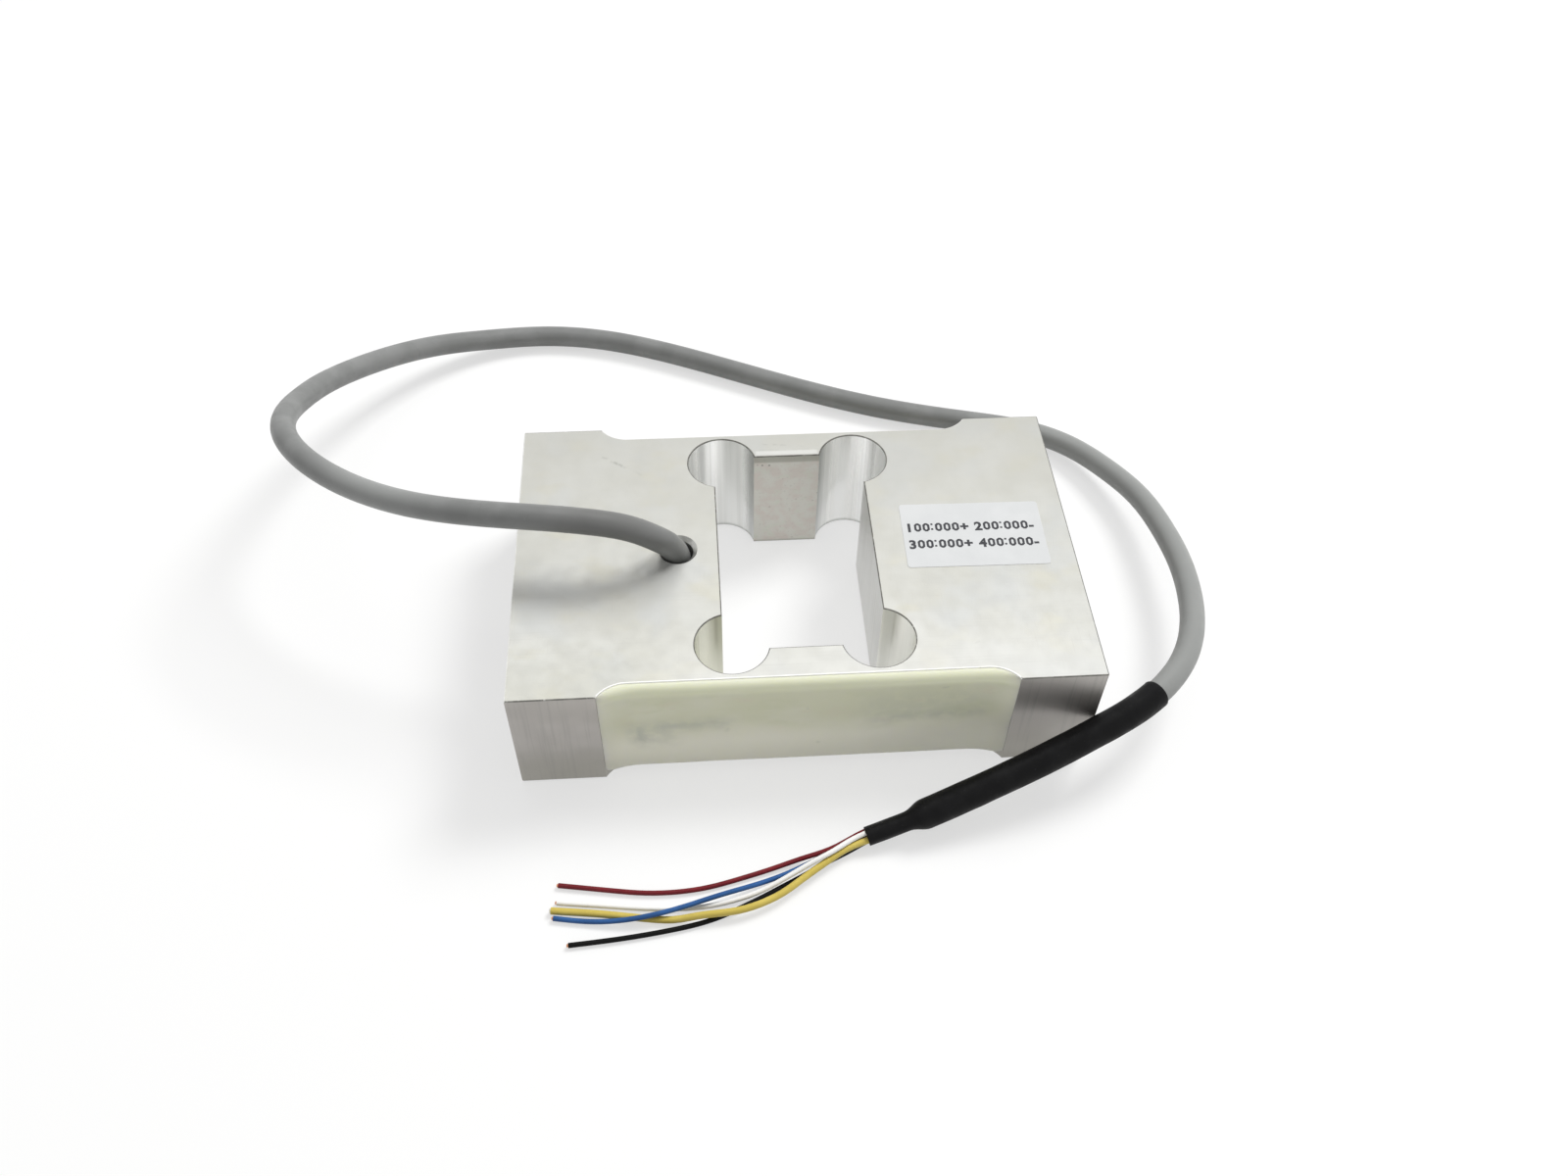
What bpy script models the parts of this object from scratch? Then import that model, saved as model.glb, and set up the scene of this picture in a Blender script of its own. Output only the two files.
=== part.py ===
"""Single-point strain gauge load cell, lying on its side, with its lead and five bare-ended wires.

Metres, +Z up. The origin is at the bottom centre of the machined body, +X runs along its length,
and the lead leaves the top face near the -X end. The body bends about Z: its four thin flexures
lie over the round lobes of the through opening, and the gauges are bonded on the waist floors
outside them, under a coat of clear silicone.
"""

import math

import bmesh
import bpy
import numpy as np
from mathutils import Vector

# Machined body
LENGTH = 0.150
WIDTH = 0.095
HEIGHT = 0.036
EDGE_BREAK = 0.0003
WAIST_DEPTH = 0.0041
WAIST_RADIUS = 0.0090

# Through opening: two end walls, two flats and a round lobe in each corner
OPENING_WIDTH = 0.0418
LOBE_RADIUS = 0.0095
LOBE_SPACING = 0.0374
FLEXURE = 0.0015
WEB = 0.0091

# Threaded mounting holes, four in each end face
END_HOLE_RADIUS = 0.0034
END_HOLE_DEPTH = 0.020
END_HOLE_MARGIN_Y = 0.0125
END_HOLE_MARGIN_Z = 0.0090
COUNTERSINK = 0.0008

# Countersunk bore for the lead in the top face, and the passage that it meets between the waist floors
BORE_CLEARANCE = 0.0007
BORE_COUNTERSINK = 0.0011
BORE_PAST_PASSAGE = 0.0020
PASSAGE_RADIUS = 0.0020
PASSAGE_TO_LOBE = 0.0015
DRILL_POINT = math.radians(118)

# Clearances between pieces that touch
GAP = 0.0003
SLIP_GAP = 0.00025
WIRE_GAP = 0.0001

# Silicone coat on each waist floor
COAT_THICKNESS = 0.0024
COAT_LOW_MARGIN = 0.0008
COAT_HIGH_MARGIN = 0.0003
COAT_END_MARGIN = 0.0008
COAT_END_THICKNESS = 0.00025
COAT_ROUNDING = 0.0042
COAT_CORNER_RADIUS = 0.0035

# Gauges and wiring under the coat
GAUGE_LENGTH = 0.0090
GAUGE_WIDTH = 0.0060
GAUGE_THICKNESS = 0.00012
GRID_THICKNESS = 0.00008
GRID_LENGTH = 0.0048
GRID_STRANDS = 7
STRAND_WIDTH = 0.00032
STRAND_PITCH = 0.00062
TAB_LENGTH = 0.0014
TAB_WIDTH = 0.0018
TAB_THICKNESS = 0.00010
TERMINAL_LENGTH = 0.0024
TERMINAL_WIDTH = 0.0050
TERMINAL_THICKNESS = 0.00025
BOARD_LENGTH = 0.0094
BOARD_WIDTH = 0.0110
BOARD_THICKNESS = 0.0004
BOARD_TO_PASSAGE = 0.0013
BOARD_TO_PAD = 0.0084
RESISTOR_LENGTH = 0.0032
RESISTOR_WIDTH = 0.0016
RESISTOR_THICKNESS = 0.00045
RESISTOR_SPACING = 0.0056
RIBBON_WIDTH = 0.0013
RIBBON_THICKNESS = 0.0005
CORE_RADIUS = 0.00045
CORE_PITCH = 0.0014
CORE_BEND = 0.0030

# Lead, seal, heat-shrink sleeve and wires
JACKET_RADIUS = 0.0034
JACKET_STEP = 0.0084
JACKET_BEND_STEP = 0.0028
JACKET_BEND = 0.0252
JACKET_TO_PASSAGE = 0.0090
JACKET_STRAIGHT = 0.0055
SEAL_LENGTH = 0.0040
SEAL_TO_JACKET_END = 0.0015
SLEEVE_STEP = 0.0046
SLEEVE_WALL = 0.0003
SLEEVE_LENGTH = 0.086
JACKET_IN_SLEEVE = 0.016
NECK_LENGTH = 0.0110
NECK_TAPER = 0.0050
BUNDLE_RADIUS = 0.00215
WIRE_RADIUS = 0.00065
SHIELD_WIRE_RADIUS = 0.00090
WIRE_STEP = 0.0037

# Label on the top face
LABEL_LENGTH = 0.0386
LABEL_WIDTH = 0.0230
LABEL_THICKNESS = 0.00015
LABEL_CORNER = 0.0010
LABEL_OFFSET = (0.00065, 0.0016)
LABEL_TURN = math.radians(-0.7)

# Facets
LOBE_FACETS = 26
WAIST_FACETS = 8
HOLE_FACETS = 20
SLEEVE_FACETS = 20
COAT_FACETS = 5
COAT_STATIONS = 9
SMOOTH_ANGLE = math.radians(35)

# The lead's centreline in millimetres, from the mouth of its bore to the sleeve's tip
LEAD_ROUTE = [
    (-33.1, -1.2, 38.1), (-36.8, -3.9, 44.8), (-43, -4.9, 49.9),
    (-52.5, -4.7, 52.8), (-64, -3.3, 53.5), (-81, 0.2, 52.4), (-100.5, 6.4, 50.5), (-118, 16, 48.8),
    (-132, 28.5, 47.3), (-139.6, 41, 44.8), (-142, 53, 40.9), (-141, 65, 36), (-138, 78.5, 30),
    (-131.5, 93.5, 23), (-122, 108, 16), (-109.5, 120, 9.8), (-95, 127.3, 5.5), (-78.5, 130.4, 3.8),
    (-61.5, 129, 3.5), (-28.5, 117.5, 3.5), (4, 102, 3.5), (36, 88.7, 3.5), (64, 80.8, 3.5),
    (82, 75.2, 3.7), (93.5, 67.3, 4.6), (102.5, 54.5, 6.7), (109.4, 38.5, 9.5), (112.2, 22.5, 12),
    (112.9, 7.5, 14.2), (111.7, -6, 16), (108.4, -19.5, 17.6), (102.7, -31, 18.6), (95.3, -39.5, 19),
    (84.7, -47.2, 18.9), (70.4, -54, 17.2), (53.5, -60, 13.1), (37.8, -64.7, 8.9), (26.3, -67.8, 5.8),
    (13.6, -70.8, 2.9),
]

# Each wire's angle in the bundle, counted from the side away from the body, and its free run in millimetres
WIRES = {
    "red": (164, [
        (4.5, -73.4, 2.5), (-2.8, -75.2, 1.6), (-10.9, -77.4, 0.9), (-19.1, -79.6, 0.7),
        (-27.2, -81.5, 0.7), (-35.1, -82.3, 0.7), (-43, -82.1, 0.7), (-50.9, -81, 0.7),
        (-58.8, -79.7, 0.7), (-64.3, -78.8, 0.7),
    ]),
    "white": (101, [
        (8.8, -72.6, 4.2), (4.5, -75.2, 4.3), (-0.4, -77.5, 3.9), (-5.2, -79.8, 3.1), (-9.5, -81.8, 2.3),
        (-14.5, -83.8, 1.5), (-20.7, -85.5, 1), (-27.5, -86.6, 0.7), (-35.2, -86.8, 0.7),
        (-43.6, -86.2, 0.7), (-52, -85.1, 0.7), (-59.2, -84.2, 0.7), (-64.5, -83.5, 0.7),
    ]),
    "blue": (226.5, [
        (9.2, -71.4, 1.2), (3, -74.2, 0.9), (-3.5, -77.3, 0.8), (-9.6, -79.8, 0.9), (-16.6, -82.2, 1.5),
        (-24.6, -84.7, 2.4), (-32.5, -87.2, 2.8), (-40.3, -89.1, 2.9), (-48.1, -89.6, 1.8),
        (-55.9, -89.1, 0.9), (-65.2, -87.6, 0.75),
    ]),
    "yellow": (15, [
        (9, -73.5, 2.8), (2.9, -77.1, 2.7), (-3.2, -81.2, 2.6), (-8.8, -85, 2.5), (-14.2, -87.5, 2.5),
        (-19.6, -89, 2.5), (-24.8, -89.5, 2.5), (-30, -89.8, 2.3), (-35.2, -90, 1.4), (-40.7, -89.4, 1),
        (-45.6, -88.6, 1), (-53.4, -87.3, 1), (-61, -86.3, 1), (-65.8, -85.7, 1),
    ]),
    "black": (289, [
        (9.4, -73.3, 0.8), (3.3, -76.2, 0.7), (-2.7, -79.4, 0.7), (-8.7, -82.4, 0.7), (-14.1, -85.1, 0.7),
        (-19.6, -87.6, 0.7), (-24.5, -89.6, 0.7), (-30, -91.2, 0.7), (-35.3, -92.2, 0.7),
        (-49.5, -94, 0.7), (-61.3, -94.9, 0.7),
    ]),
}

# Worked out from the sizes above
MM = 0.001
WAIST_Y = WIDTH / 2 - WAIST_DEPTH
FLAT_Y = WAIST_Y - WEB
LOBE_X = LOBE_SPACING / 2
LOBE_Y = WAIST_Y - FLEXURE - LOBE_RADIUS
BORE_RADIUS = JACKET_RADIUS + BORE_CLEARANCE
BORE_X = -(LOBE_X + LOBE_RADIUS + PASSAGE_TO_LOBE + PASSAGE_RADIUS)
BOARD_EDGE = BORE_X - PASSAGE_RADIUS - BOARD_TO_PASSAGE
PAD_X = BOARD_LENGTH + BOARD_TO_PAD - BOARD_EDGE
WAIST_ARC_X = PAD_X - math.sqrt(WAIST_RADIUS**2 - (WAIST_RADIUS - WAIST_DEPTH) ** 2)
LAND_X = (OPENING_WIDTH / 2 + LENGTH / 2) / 2
MID_HEIGHT = HEIGHT / 2
JACKET_END = MID_HEIGHT + JACKET_TO_PASSAGE


def clear_scene():
    for obj in list(bpy.data.objects):
        bpy.data.objects.remove(obj, do_unlink=True)


def material(name, colour, roughness, metallic=0.0):
    made = bpy.data.materials.new(name)
    made.use_nodes = True
    shader = made.node_tree.nodes["Principled BSDF"]
    shader.inputs["Base Color"].default_value = (*colour, 1.0)
    shader.inputs["Roughness"].default_value = roughness
    shader.inputs["Metallic"].default_value = metallic
    return made


def add_object(name, mesh, finish=None, frame=None):
    """Links a mesh as a smooth-shaded object, in the frame of an empty where one is given."""
    obj = bpy.data.objects.new(name, mesh)
    bpy.context.scene.collection.objects.link(obj)
    obj.parent = frame
    if finish:
        mesh.materials.append(finish)
    mesh.shade_smooth()
    mesh.set_sharp_from_angle(angle=SMOOTH_ANGLE)
    return obj


def loft(name, rings, finish=None, frame=None, closed=False):
    """Skins rings of equal count. The ends are capped, or joined to each other where closed."""
    bm = bmesh.new()
    rows = [[bm.verts.new(point) for point in ring] for ring in rings]
    pairs = list(zip(rows, rows[1:]))
    if closed:
        pairs.append((rows[-1], rows[0]))
    for low, high in pairs:
        count = len(low)
        for i in range(count):
            j = (i + 1) % count
            bm.faces.new((low[i], low[j], high[j], high[i]))
    if not closed:
        bm.faces.new(rows[0])
        bm.faces.new(rows[-1])
    bmesh.ops.recalc_face_normals(bm, faces=bm.faces)
    mesh = bpy.data.meshes.new(name)
    bm.to_mesh(mesh)
    bm.free()
    return add_object(name, mesh, finish, frame)


def plate(name, outline, low, high, frame, finish=None):
    """Extrudes an outline in X and Z between two distances out from a waist floor."""
    side = math.copysign(1, frame.location.y)
    return loft(name, [[(x, side * y, z) for x, z in outline] for y in (low, high)], finish, frame)


def rectangle(centre_x, centre_z, length, width, margin=0):
    dx, dz = length / 2 + margin, width / 2 + margin
    return [
        (centre_x - dx, centre_z - dz), (centre_x + dx, centre_z - dz),
        (centre_x + dx, centre_z + dz), (centre_x - dx, centre_z + dz),
    ]


def strip(path, width, margin=0):
    """The outline of a flat strip that follows a path with mitred corners, grown by the margin."""
    points = [Vector(point) for point in path]
    runs = [(b - a).normalized() for a, b in zip(points, points[1:])]
    points[0] -= runs[0] * margin
    points[-1] += runs[-1] * margin
    left, right = [], []
    for i, point in enumerate(points):
        before, after = runs[max(i - 1, 0)], runs[min(i, len(runs) - 1)]
        middle = (before + after).normalized()
        across = Vector((-middle.y, middle.x)) * ((width / 2 + margin) / middle.dot(after))
        left.append(tuple(point + across))
        right.append(tuple(point - across))
    return left + right[::-1]


def drilled(name, mouth, direction, steps):
    """A turned cutter: each step is a distance along the direction and a radius there."""
    start, axis = Vector(mouth), Vector(direction).normalized()
    side = axis.orthogonal().normalized()
    other = axis.cross(side)
    turns = [2 * math.pi * i / HOLE_FACETS for i in range(HOLE_FACETS)]
    rings = [
        [start + axis * along + radius * (side * math.cos(a) + other * math.sin(a)) for a in turns]
        for along, radius in steps
    ]
    return loft(name, rings)


def boolean(target, tool, operation="DIFFERENCE"):
    tool.hide_render = True
    tool.display_type = "WIRE"
    modifier = target.modifiers.new(tool.name, "BOOLEAN")
    modifier.operation = operation
    modifier.solver = "EXACT"
    modifier.object = tool


def arc(centre, radius, start, end, count):
    """Points along an arc, both ends included, with angles in radians."""
    angles = [start + (end - start) * i / count for i in range(count + 1)]
    return [(centre[0] + radius * math.cos(a), centre[1] + radius * math.sin(a)) for a in angles]


def body_outline(inset):
    """The body seen from above: four corner pads and two waists, drawn in by the inset."""
    half_length, half_width = LENGTH / 2 - inset, WIDTH / 2 - inset
    centre_y = WAIST_Y + WAIST_RADIUS
    radius = WAIST_RADIUS + inset
    rise = math.acos((centre_y - half_width) / radius)
    quarter = arc((WAIST_ARC_X, centre_y), radius, rise - math.pi / 2, -math.pi / 2, WAIST_FACETS)
    first = [(half_length, half_width)] + quarter
    second = [(-x, y) for x, y in reversed(first)]
    return first + second + [(-x, -y) for x, y in first + second]


def opening_outline(grow):
    """The through opening seen from above, widened by the amount given."""
    radius = LOBE_RADIUS + grow
    wall, flat = OPENING_WIDTH / 2 + grow, FLAT_Y + grow
    start = -math.acos((wall - LOBE_X) / radius)
    end = math.pi - math.asin((flat - LOBE_Y) / radius)
    first = arc((LOBE_X, LOBE_Y), radius, start, end, LOBE_FACETS)
    second = [(-x, y) for x, y in reversed(first)]
    return first + second + [(-x, -y) for x, y in first + second]


def levels(outline, steps):
    return [[(x, y, z) for x, y in outline(size)] for z, size in steps]


def blind_hole(name, mouth, direction, radius, depth, edge):
    """A drilled hole with a broken edge at its mouth and a drill point at its bottom."""
    lead_in = 0.001
    point = radius / math.tan(DRILL_POINT / 2)
    steps = [
        (-lead_in, radius + edge), (0, radius + edge), (edge, radius),
        (depth, radius), (depth + 0.98 * point, 0.02 * radius),
    ]
    return drilled(name, mouth, direction, steps)


def make_body(finish):
    top_edge = HEIGHT - EDGE_BREAK
    overrun = 0.002
    outside = [(0, EDGE_BREAK), (EDGE_BREAK, 0), (top_edge, 0), (HEIGHT, EDGE_BREAK)]
    inside = [
        (-overrun, EDGE_BREAK), (0, EDGE_BREAK), (EDGE_BREAK, 0),
        (top_edge, 0), (HEIGHT, EDGE_BREAK), (HEIGHT + overrun, EDGE_BREAK),
    ]
    body = loft("machined_body", levels(body_outline, outside), finish)
    boolean(body, loft("cut_opening", levels(opening_outline, inside)))
    depth = HEIGHT - MID_HEIGHT + BORE_PAST_PASSAGE
    bore = blind_hole("cut_bore", (BORE_X, 0, HEIGHT), (0, 0, -1), BORE_RADIUS, depth, BORE_COUNTERSINK)
    boolean(body, bore)
    passage = [
        (-overrun, PASSAGE_RADIUS + EDGE_BREAK), (0, PASSAGE_RADIUS + EDGE_BREAK),
        (EDGE_BREAK, PASSAGE_RADIUS), (2 * WAIST_Y - EDGE_BREAK, PASSAGE_RADIUS),
        (2 * WAIST_Y, PASSAGE_RADIUS + EDGE_BREAK), (2 * WAIST_Y + overrun, PASSAGE_RADIUS + EDGE_BREAK),
    ]
    boolean(body, drilled("cut_passage", (BORE_X, -WAIST_Y, MID_HEIGHT), (0, 1, 0), passage))
    for end in (-1, 1):
        for row in (-1, 1):
            for column in (-1, 1):
                y = row * (WIDTH / 2 - END_HOLE_MARGIN_Y)
                z = MID_HEIGHT + column * (HEIGHT / 2 - END_HOLE_MARGIN_Z)
                mouth = (end * LENGTH / 2, y, z)
                name = f"cut_end_hole_{end}_{row}_{column}"
                hole = blind_hole(name, mouth, (-end, 0, 0), END_HOLE_RADIUS, END_HOLE_DEPTH, COUNTERSINK)
                boolean(body, hole)
    return body


def waist_frame(name, side):
    """An empty in the middle of a waist floor, which carries what is bonded there."""
    frame = bpy.data.objects.new(name, None)
    bpy.context.scene.collection.objects.link(frame)
    frame.location = (0, side * WAIST_Y, MID_HEIGHT)
    return frame


def coat_ring(x, side):
    """One section across a silicone coat: straight against the floor, rounded outside."""
    past_floor = max(abs(x) - WAIST_ARC_X, 0)
    inner_radius = WAIST_RADIUS - GAP
    inner = WAIST_RADIUS - math.sqrt(inner_radius**2 - past_floor**2)
    end = PAD_X - COAT_END_MARGIN
    blend_start = WAIST_ARC_X - COAT_ROUNDING
    share = max(abs(x) - blend_start, 0) / (end - blend_start)
    end_floor = WAIST_RADIUS - math.sqrt(inner_radius**2 - (end - WAIST_ARC_X) ** 2)
    outer = COAT_THICKNESS + (end_floor + COAT_END_THICKNESS - COAT_THICKNESS) * share**2
    corner = max(abs(x) - (end - COAT_CORNER_RADIUS), 0)
    lift = COAT_CORNER_RADIUS - math.sqrt(max(COAT_CORNER_RADIUS**2 - corner**2, 0))
    low = -MID_HEIGHT + COAT_LOW_MARGIN + lift
    high = MID_HEIGHT - COAT_HIGH_MARGIN - lift / 4
    bulge = []
    for i in range(1, COAT_FACETS + 1):
        angle = math.pi / 2 * i / COAT_FACETS
        depth = inner + (outer - inner) * math.sin(angle)
        bulge.append((depth, COAT_ROUNDING * (1 - math.cos(angle))))
    section = [(inner, low), (inner, high)]
    section += [(depth, high - drop) for depth, drop in bulge]
    section += [(depth, low + drop) for depth, drop in reversed(bulge)]
    return [(x, side * depth, z) for depth, z in section]


def make_coat(name, side, finish, frame):
    end = PAD_X - COAT_END_MARGIN
    blend_start = WAIST_ARC_X - COAT_ROUNDING
    shares = [math.sin(math.pi / 2 * i / COAT_STATIONS) for i in range(COAT_STATIONS + 1)]
    half = [blend_start + (end - blend_start) * share for share in shares]
    stations = [-x for x in reversed(half)] + half
    return loft(name, [coat_ring(x, side) for x in stations], finish, frame)


def make_gauge(name, centre, finish, frame):
    """A foil gauge: a carrier film with the folded grid and its two solder tabs raised on it."""
    top = GAP + GAUGE_THICKNESS
    inside = top - GAUGE_THICKNESS / 2
    gauge = plate(name, rectangle(centre, 0, GAUGE_LENGTH, GAUGE_WIDTH), GAP, top, frame, finish)
    grid_width = GRID_STRANDS * STRAND_PITCH
    grid_end = centre + GAUGE_LENGTH / 2 - (GAUGE_WIDTH - grid_width) / 2
    grid_start = grid_end - GRID_LENGTH
    path = []
    for strand in range(GRID_STRANDS + 1):
        z = strand * STRAND_PITCH - grid_width / 2
        ends = (grid_start, grid_end) if strand % 2 == 0 else (grid_end, grid_start)
        path += [(x, z) for x in ends]
    grid = plate(f"{name}_grid", strip(path, STRAND_WIDTH), inside, top + GRID_THICKNESS, frame)
    boolean(gauge, grid, "UNION")
    for side in (-1, 1):
        tab_z = side * (grid_width + 3 * STRAND_WIDTH - TAB_WIDTH) / 2
        outline = rectangle(grid_start - TAB_LENGTH / 2, tab_z, TAB_LENGTH + STRAND_WIDTH, TAB_WIDTH)
        boolean(gauge, plate(f"{name}_tab_{side}", outline, inside, top + TAB_THICKNESS, frame), "UNION")


def bed(coat, outline, top, frame):
    """Hollows the coat out over a piece that it was poured around."""
    boolean(coat, plate(f"{coat.name}_bed_{len(coat.modifiers)}", outline, -GAP, top + GAP, frame))


def make_waist(place, side, finishes):
    """Everything on one waist floor, from the bridge board by the passage to the far gauge."""
    frame = waist_frame(f"{place}_waist", side)
    coat = make_coat(f"{place}_silicone_coat", side, finishes["silicone"], frame)

    def bonded(name, shape, sizes, low, thickness, finish):
        plate(f"{place}_{name}", shape(*sizes), low, low + thickness, frame, finishes[finish])
        bed(coat, shape(*sizes, GAP), low + thickness, frame)

    board_x = BOARD_EDGE - BOARD_LENGTH / 2
    bonded("bridge_board", rectangle, (board_x, 0, BOARD_LENGTH, BOARD_WIDTH), GAP, BOARD_THICKNESS, "board")
    on_board = 2 * GAP + BOARD_THICKNESS
    for name, step in (("lower_resistor", -1), ("upper_resistor", 1)):
        sizes = (board_x, step * RESISTOR_SPACING / 2, RESISTOR_LENGTH, RESISTOR_WIDTH)
        bonded(name, rectangle, sizes, on_board, RESISTOR_THICKNESS, "resistor")

    above_cores = PASSAGE_RADIUS + 2 * CORE_RADIUS + RIBBON_WIDTH / 2
    below_gauge = -GAUGE_WIDTH / 2 - RIBBON_WIDTH
    for name, centre, run_z in (("near", -LOBE_X, above_cores), ("far", LOBE_X, below_gauge)):
        make_gauge(f"{place}_{name}_gauge", centre, finishes["gauge"], frame)
        outline = rectangle(centre, 0, GAUGE_LENGTH, GAUGE_WIDTH, GAP)
        bed(coat, outline, GAP + GAUGE_THICKNESS + TAB_THICKNESS, frame)
        terminal_end = centre - GAUGE_LENGTH / 2 - GAP
        sizes = (terminal_end - TERMINAL_LENGTH / 2, 0, TERMINAL_LENGTH, TERMINAL_WIDTH)
        bonded(f"{name}_terminal", rectangle, sizes, GAP, TERMINAL_THICKNESS, "terminal")
        ribbon_end = terminal_end - TERMINAL_LENGTH - GAP
        leave_z = math.copysign(TERMINAL_WIDTH / 4, run_z)
        turn = ribbon_end - abs(run_z - leave_z)
        path = [(ribbon_end, leave_z), (turn, run_z), (BOARD_EDGE + GAP, run_z)]
        bonded(f"{name}_ribbon", strip, (path, RIBBON_WIDTH), GAP, RIBBON_THICKNESS, "ribbon")

    mouth_end = BORE_X + PASSAGE_RADIUS + EDGE_BREAK
    length = mouth_end - BOARD_EDGE - GAP
    sizes = (mouth_end - length / 2, 0, length, CORE_PITCH + 2 * CORE_RADIUS, GAP)
    bed(coat, rectangle(*sizes), GAP + 2 * CORE_RADIUS, frame)


def smooth_curve(route, step):
    """A natural cubic spline through the route's points, read at even steps along it."""
    knots = np.array(route, float)
    gaps = np.linalg.norm(np.diff(knots, axis=0), axis=1)
    count = len(knots)
    system, right = np.eye(count), np.zeros((count, 3))
    for i in range(1, count - 1):
        system[i, i - 1:i + 2] = gaps[i - 1], 2 * (gaps[i - 1] + gaps[i]), gaps[i]
        slopes = (knots[i + 1] - knots[i]) / gaps[i] - (knots[i] - knots[i - 1]) / gaps[i - 1]
        right[i] = 6 * slopes
    bends = np.linalg.solve(system, right)
    fine = []
    for i, gap in enumerate(gaps):
        for t in np.arange(24) / 24:
            a, b = 1 - t, t
            curve = (a**3 - a) * bends[i] + (b**3 - b) * bends[i + 1]
            fine.append(a * knots[i] + b * knots[i + 1] + gap**2 / 6 * curve)
    fine = np.array(fine + [knots[-1]])
    along = np.concatenate([[0], np.cumsum(np.linalg.norm(np.diff(fine, axis=0), axis=1))])
    places = np.linspace(0, along[-1], round(along[-1] / step) + 1)
    return np.column_stack([np.interp(places, along, fine[:, axis]) for axis in range(3)])


def tube(name, points, radius, sides, finish):
    """A cord: a curve with a round bevel and filled caps through the points given."""
    curve = bpy.data.curves.new(name, "CURVE")
    curve.dimensions = "3D"
    curve.bevel_depth = radius
    curve.bevel_resolution = sides // 2 - 2
    curve.use_fill_caps = True
    curve.materials.append(finish)
    spline = curve.splines.new("POLY")
    spline.points.add(len(points) - 1)
    for spot, point in zip(spline.points, points):
        spot.co = (*point, 1)
    obj = bpy.data.objects.new(name, curve)
    bpy.context.scene.collection.objects.link(obj)
    return obj


class Line:
    """A finely divided line that is read by the distance along it."""

    def __init__(self, points):
        self.points = points
        steps = np.linalg.norm(np.diff(points, axis=0), axis=1)
        self.along = np.concatenate([[0], np.cumsum(steps)])
        self.length = self.along[-1]

    def at(self, distance):
        return np.array([np.interp(distance, self.along, self.points[:, axis]) for axis in range(3)])

    def between(self, start, end, step):
        return [self.at(d) for d in np.linspace(start, end, round((end - start) / step) + 1)]

    def section(self, distance):
        """The centre, a level direction across the line and the one square to both."""
        reach = JACKET_RADIUS
        before = self.at(max(distance - reach, 0))
        after = self.at(min(distance + reach, self.length))
        forward = (after - before) / np.linalg.norm(after - before)
        side = np.cross([0, 0, 1], forward)
        side /= np.linalg.norm(side)
        return self.at(distance), side, np.cross(forward, side)

    def off_centre(self, distance, radius, angle):
        centre, side, up = self.section(distance)
        return centre + radius * (math.cos(angle) * side + math.sin(angle) * up)


def make_sleeve(lead, finish):
    """The heat-shrink sleeve: an open tube that is wide over the jacket and narrow over the wires."""
    start, end = lead.length - SLEEVE_LENGTH, lead.length
    neck = end - NECK_LENGTH
    shoulder = neck - NECK_TAPER
    wide = JACKET_RADIUS + SLIP_GAP
    narrow = BUNDLE_RADIUS + WIRE_GAP
    places = list(np.linspace(start, shoulder, round((shoulder - start) / SLEEVE_STEP) + 1))
    places += [shoulder + NECK_TAPER * share for share in (0.3, 0.7)]
    places += list(np.linspace(neck, end, round(NECK_LENGTH / SLEEVE_STEP) + 1))
    turns = [2 * math.pi * i / SLEEVE_FACETS for i in range(SLEEVE_FACETS)]
    outer, inner = [], []
    for place in places:
        share = min(max((place - shoulder) / NECK_TAPER, 0), 1)
        bore = wide + (narrow - wide) * (3 * share**2 - 2 * share**3)
        bore /= math.cos(math.pi / SLEEVE_FACETS)
        outer.append([lead.off_centre(place, bore + SLEEVE_WALL, angle) for angle in turns])
        inner.append([lead.off_centre(place, bore, angle) for angle in turns])
    return loft("heat_shrink_sleeve", outer + inner[::-1], finish, closed=True)


def make_lead(finishes):
    """The jacket, the sleeve over its end and the five wires that come out of the sleeve."""
    in_bore = [(BORE_X, 0, JACKET_END), (BORE_X, 0, JACKET_END + JACKET_STRAIGHT)]
    route = np.vstack([in_bore, np.array(LEAD_ROUTE) * MM])
    lead = Line(smooth_curve(route, JACKET_STEP / 4))
    jacket_end = lead.length - SLEEVE_LENGTH + JACKET_IN_SLEEVE
    points = lead.between(0, JACKET_BEND, JACKET_BEND_STEP)
    points += lead.between(JACKET_BEND, jacket_end, JACKET_STEP)[1:]
    tube("lead_jacket", points, JACKET_RADIUS, 10, finishes["jacket"])
    make_sleeve(lead, finishes["sleeve"])

    held = np.linspace(jacket_end + GAP, lead.length - WIRE_RADIUS, round(SLEEVE_LENGTH / WIRE_STEP))
    for colour, (angle, run) in WIRES.items():
        radius = SHIELD_WIRE_RADIUS if colour == "yellow" else WIRE_RADIUS
        route = [lead.off_centre(place, BUNDLE_RADIUS - radius, math.radians(angle)) for place in held]
        route += [np.array(point) * MM for point in run]
        tube(f"{colour}_wire", smooth_curve(route, WIRE_STEP), radius, 8, finishes[colour])


def make_seal(finish):
    """The ring of sealing compound between the jacket and its bore."""
    bottom = JACKET_END + SEAL_TO_JACKET_END
    top = bottom + SEAL_LENGTH
    turns = [2 * math.pi * i / HOLE_FACETS for i in range(HOLE_FACETS)]
    outer = BORE_RADIUS - WIRE_GAP
    inner = JACKET_RADIUS + SLIP_GAP
    rings = [
        [(BORE_X + radius * math.cos(a), radius * math.sin(a), z) for a in turns]
        for z, radius in ((bottom, outer), (top, outer), (top, inner), (bottom, inner))
    ]
    loft("bore_seal", rings, finish, closed=True)


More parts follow.
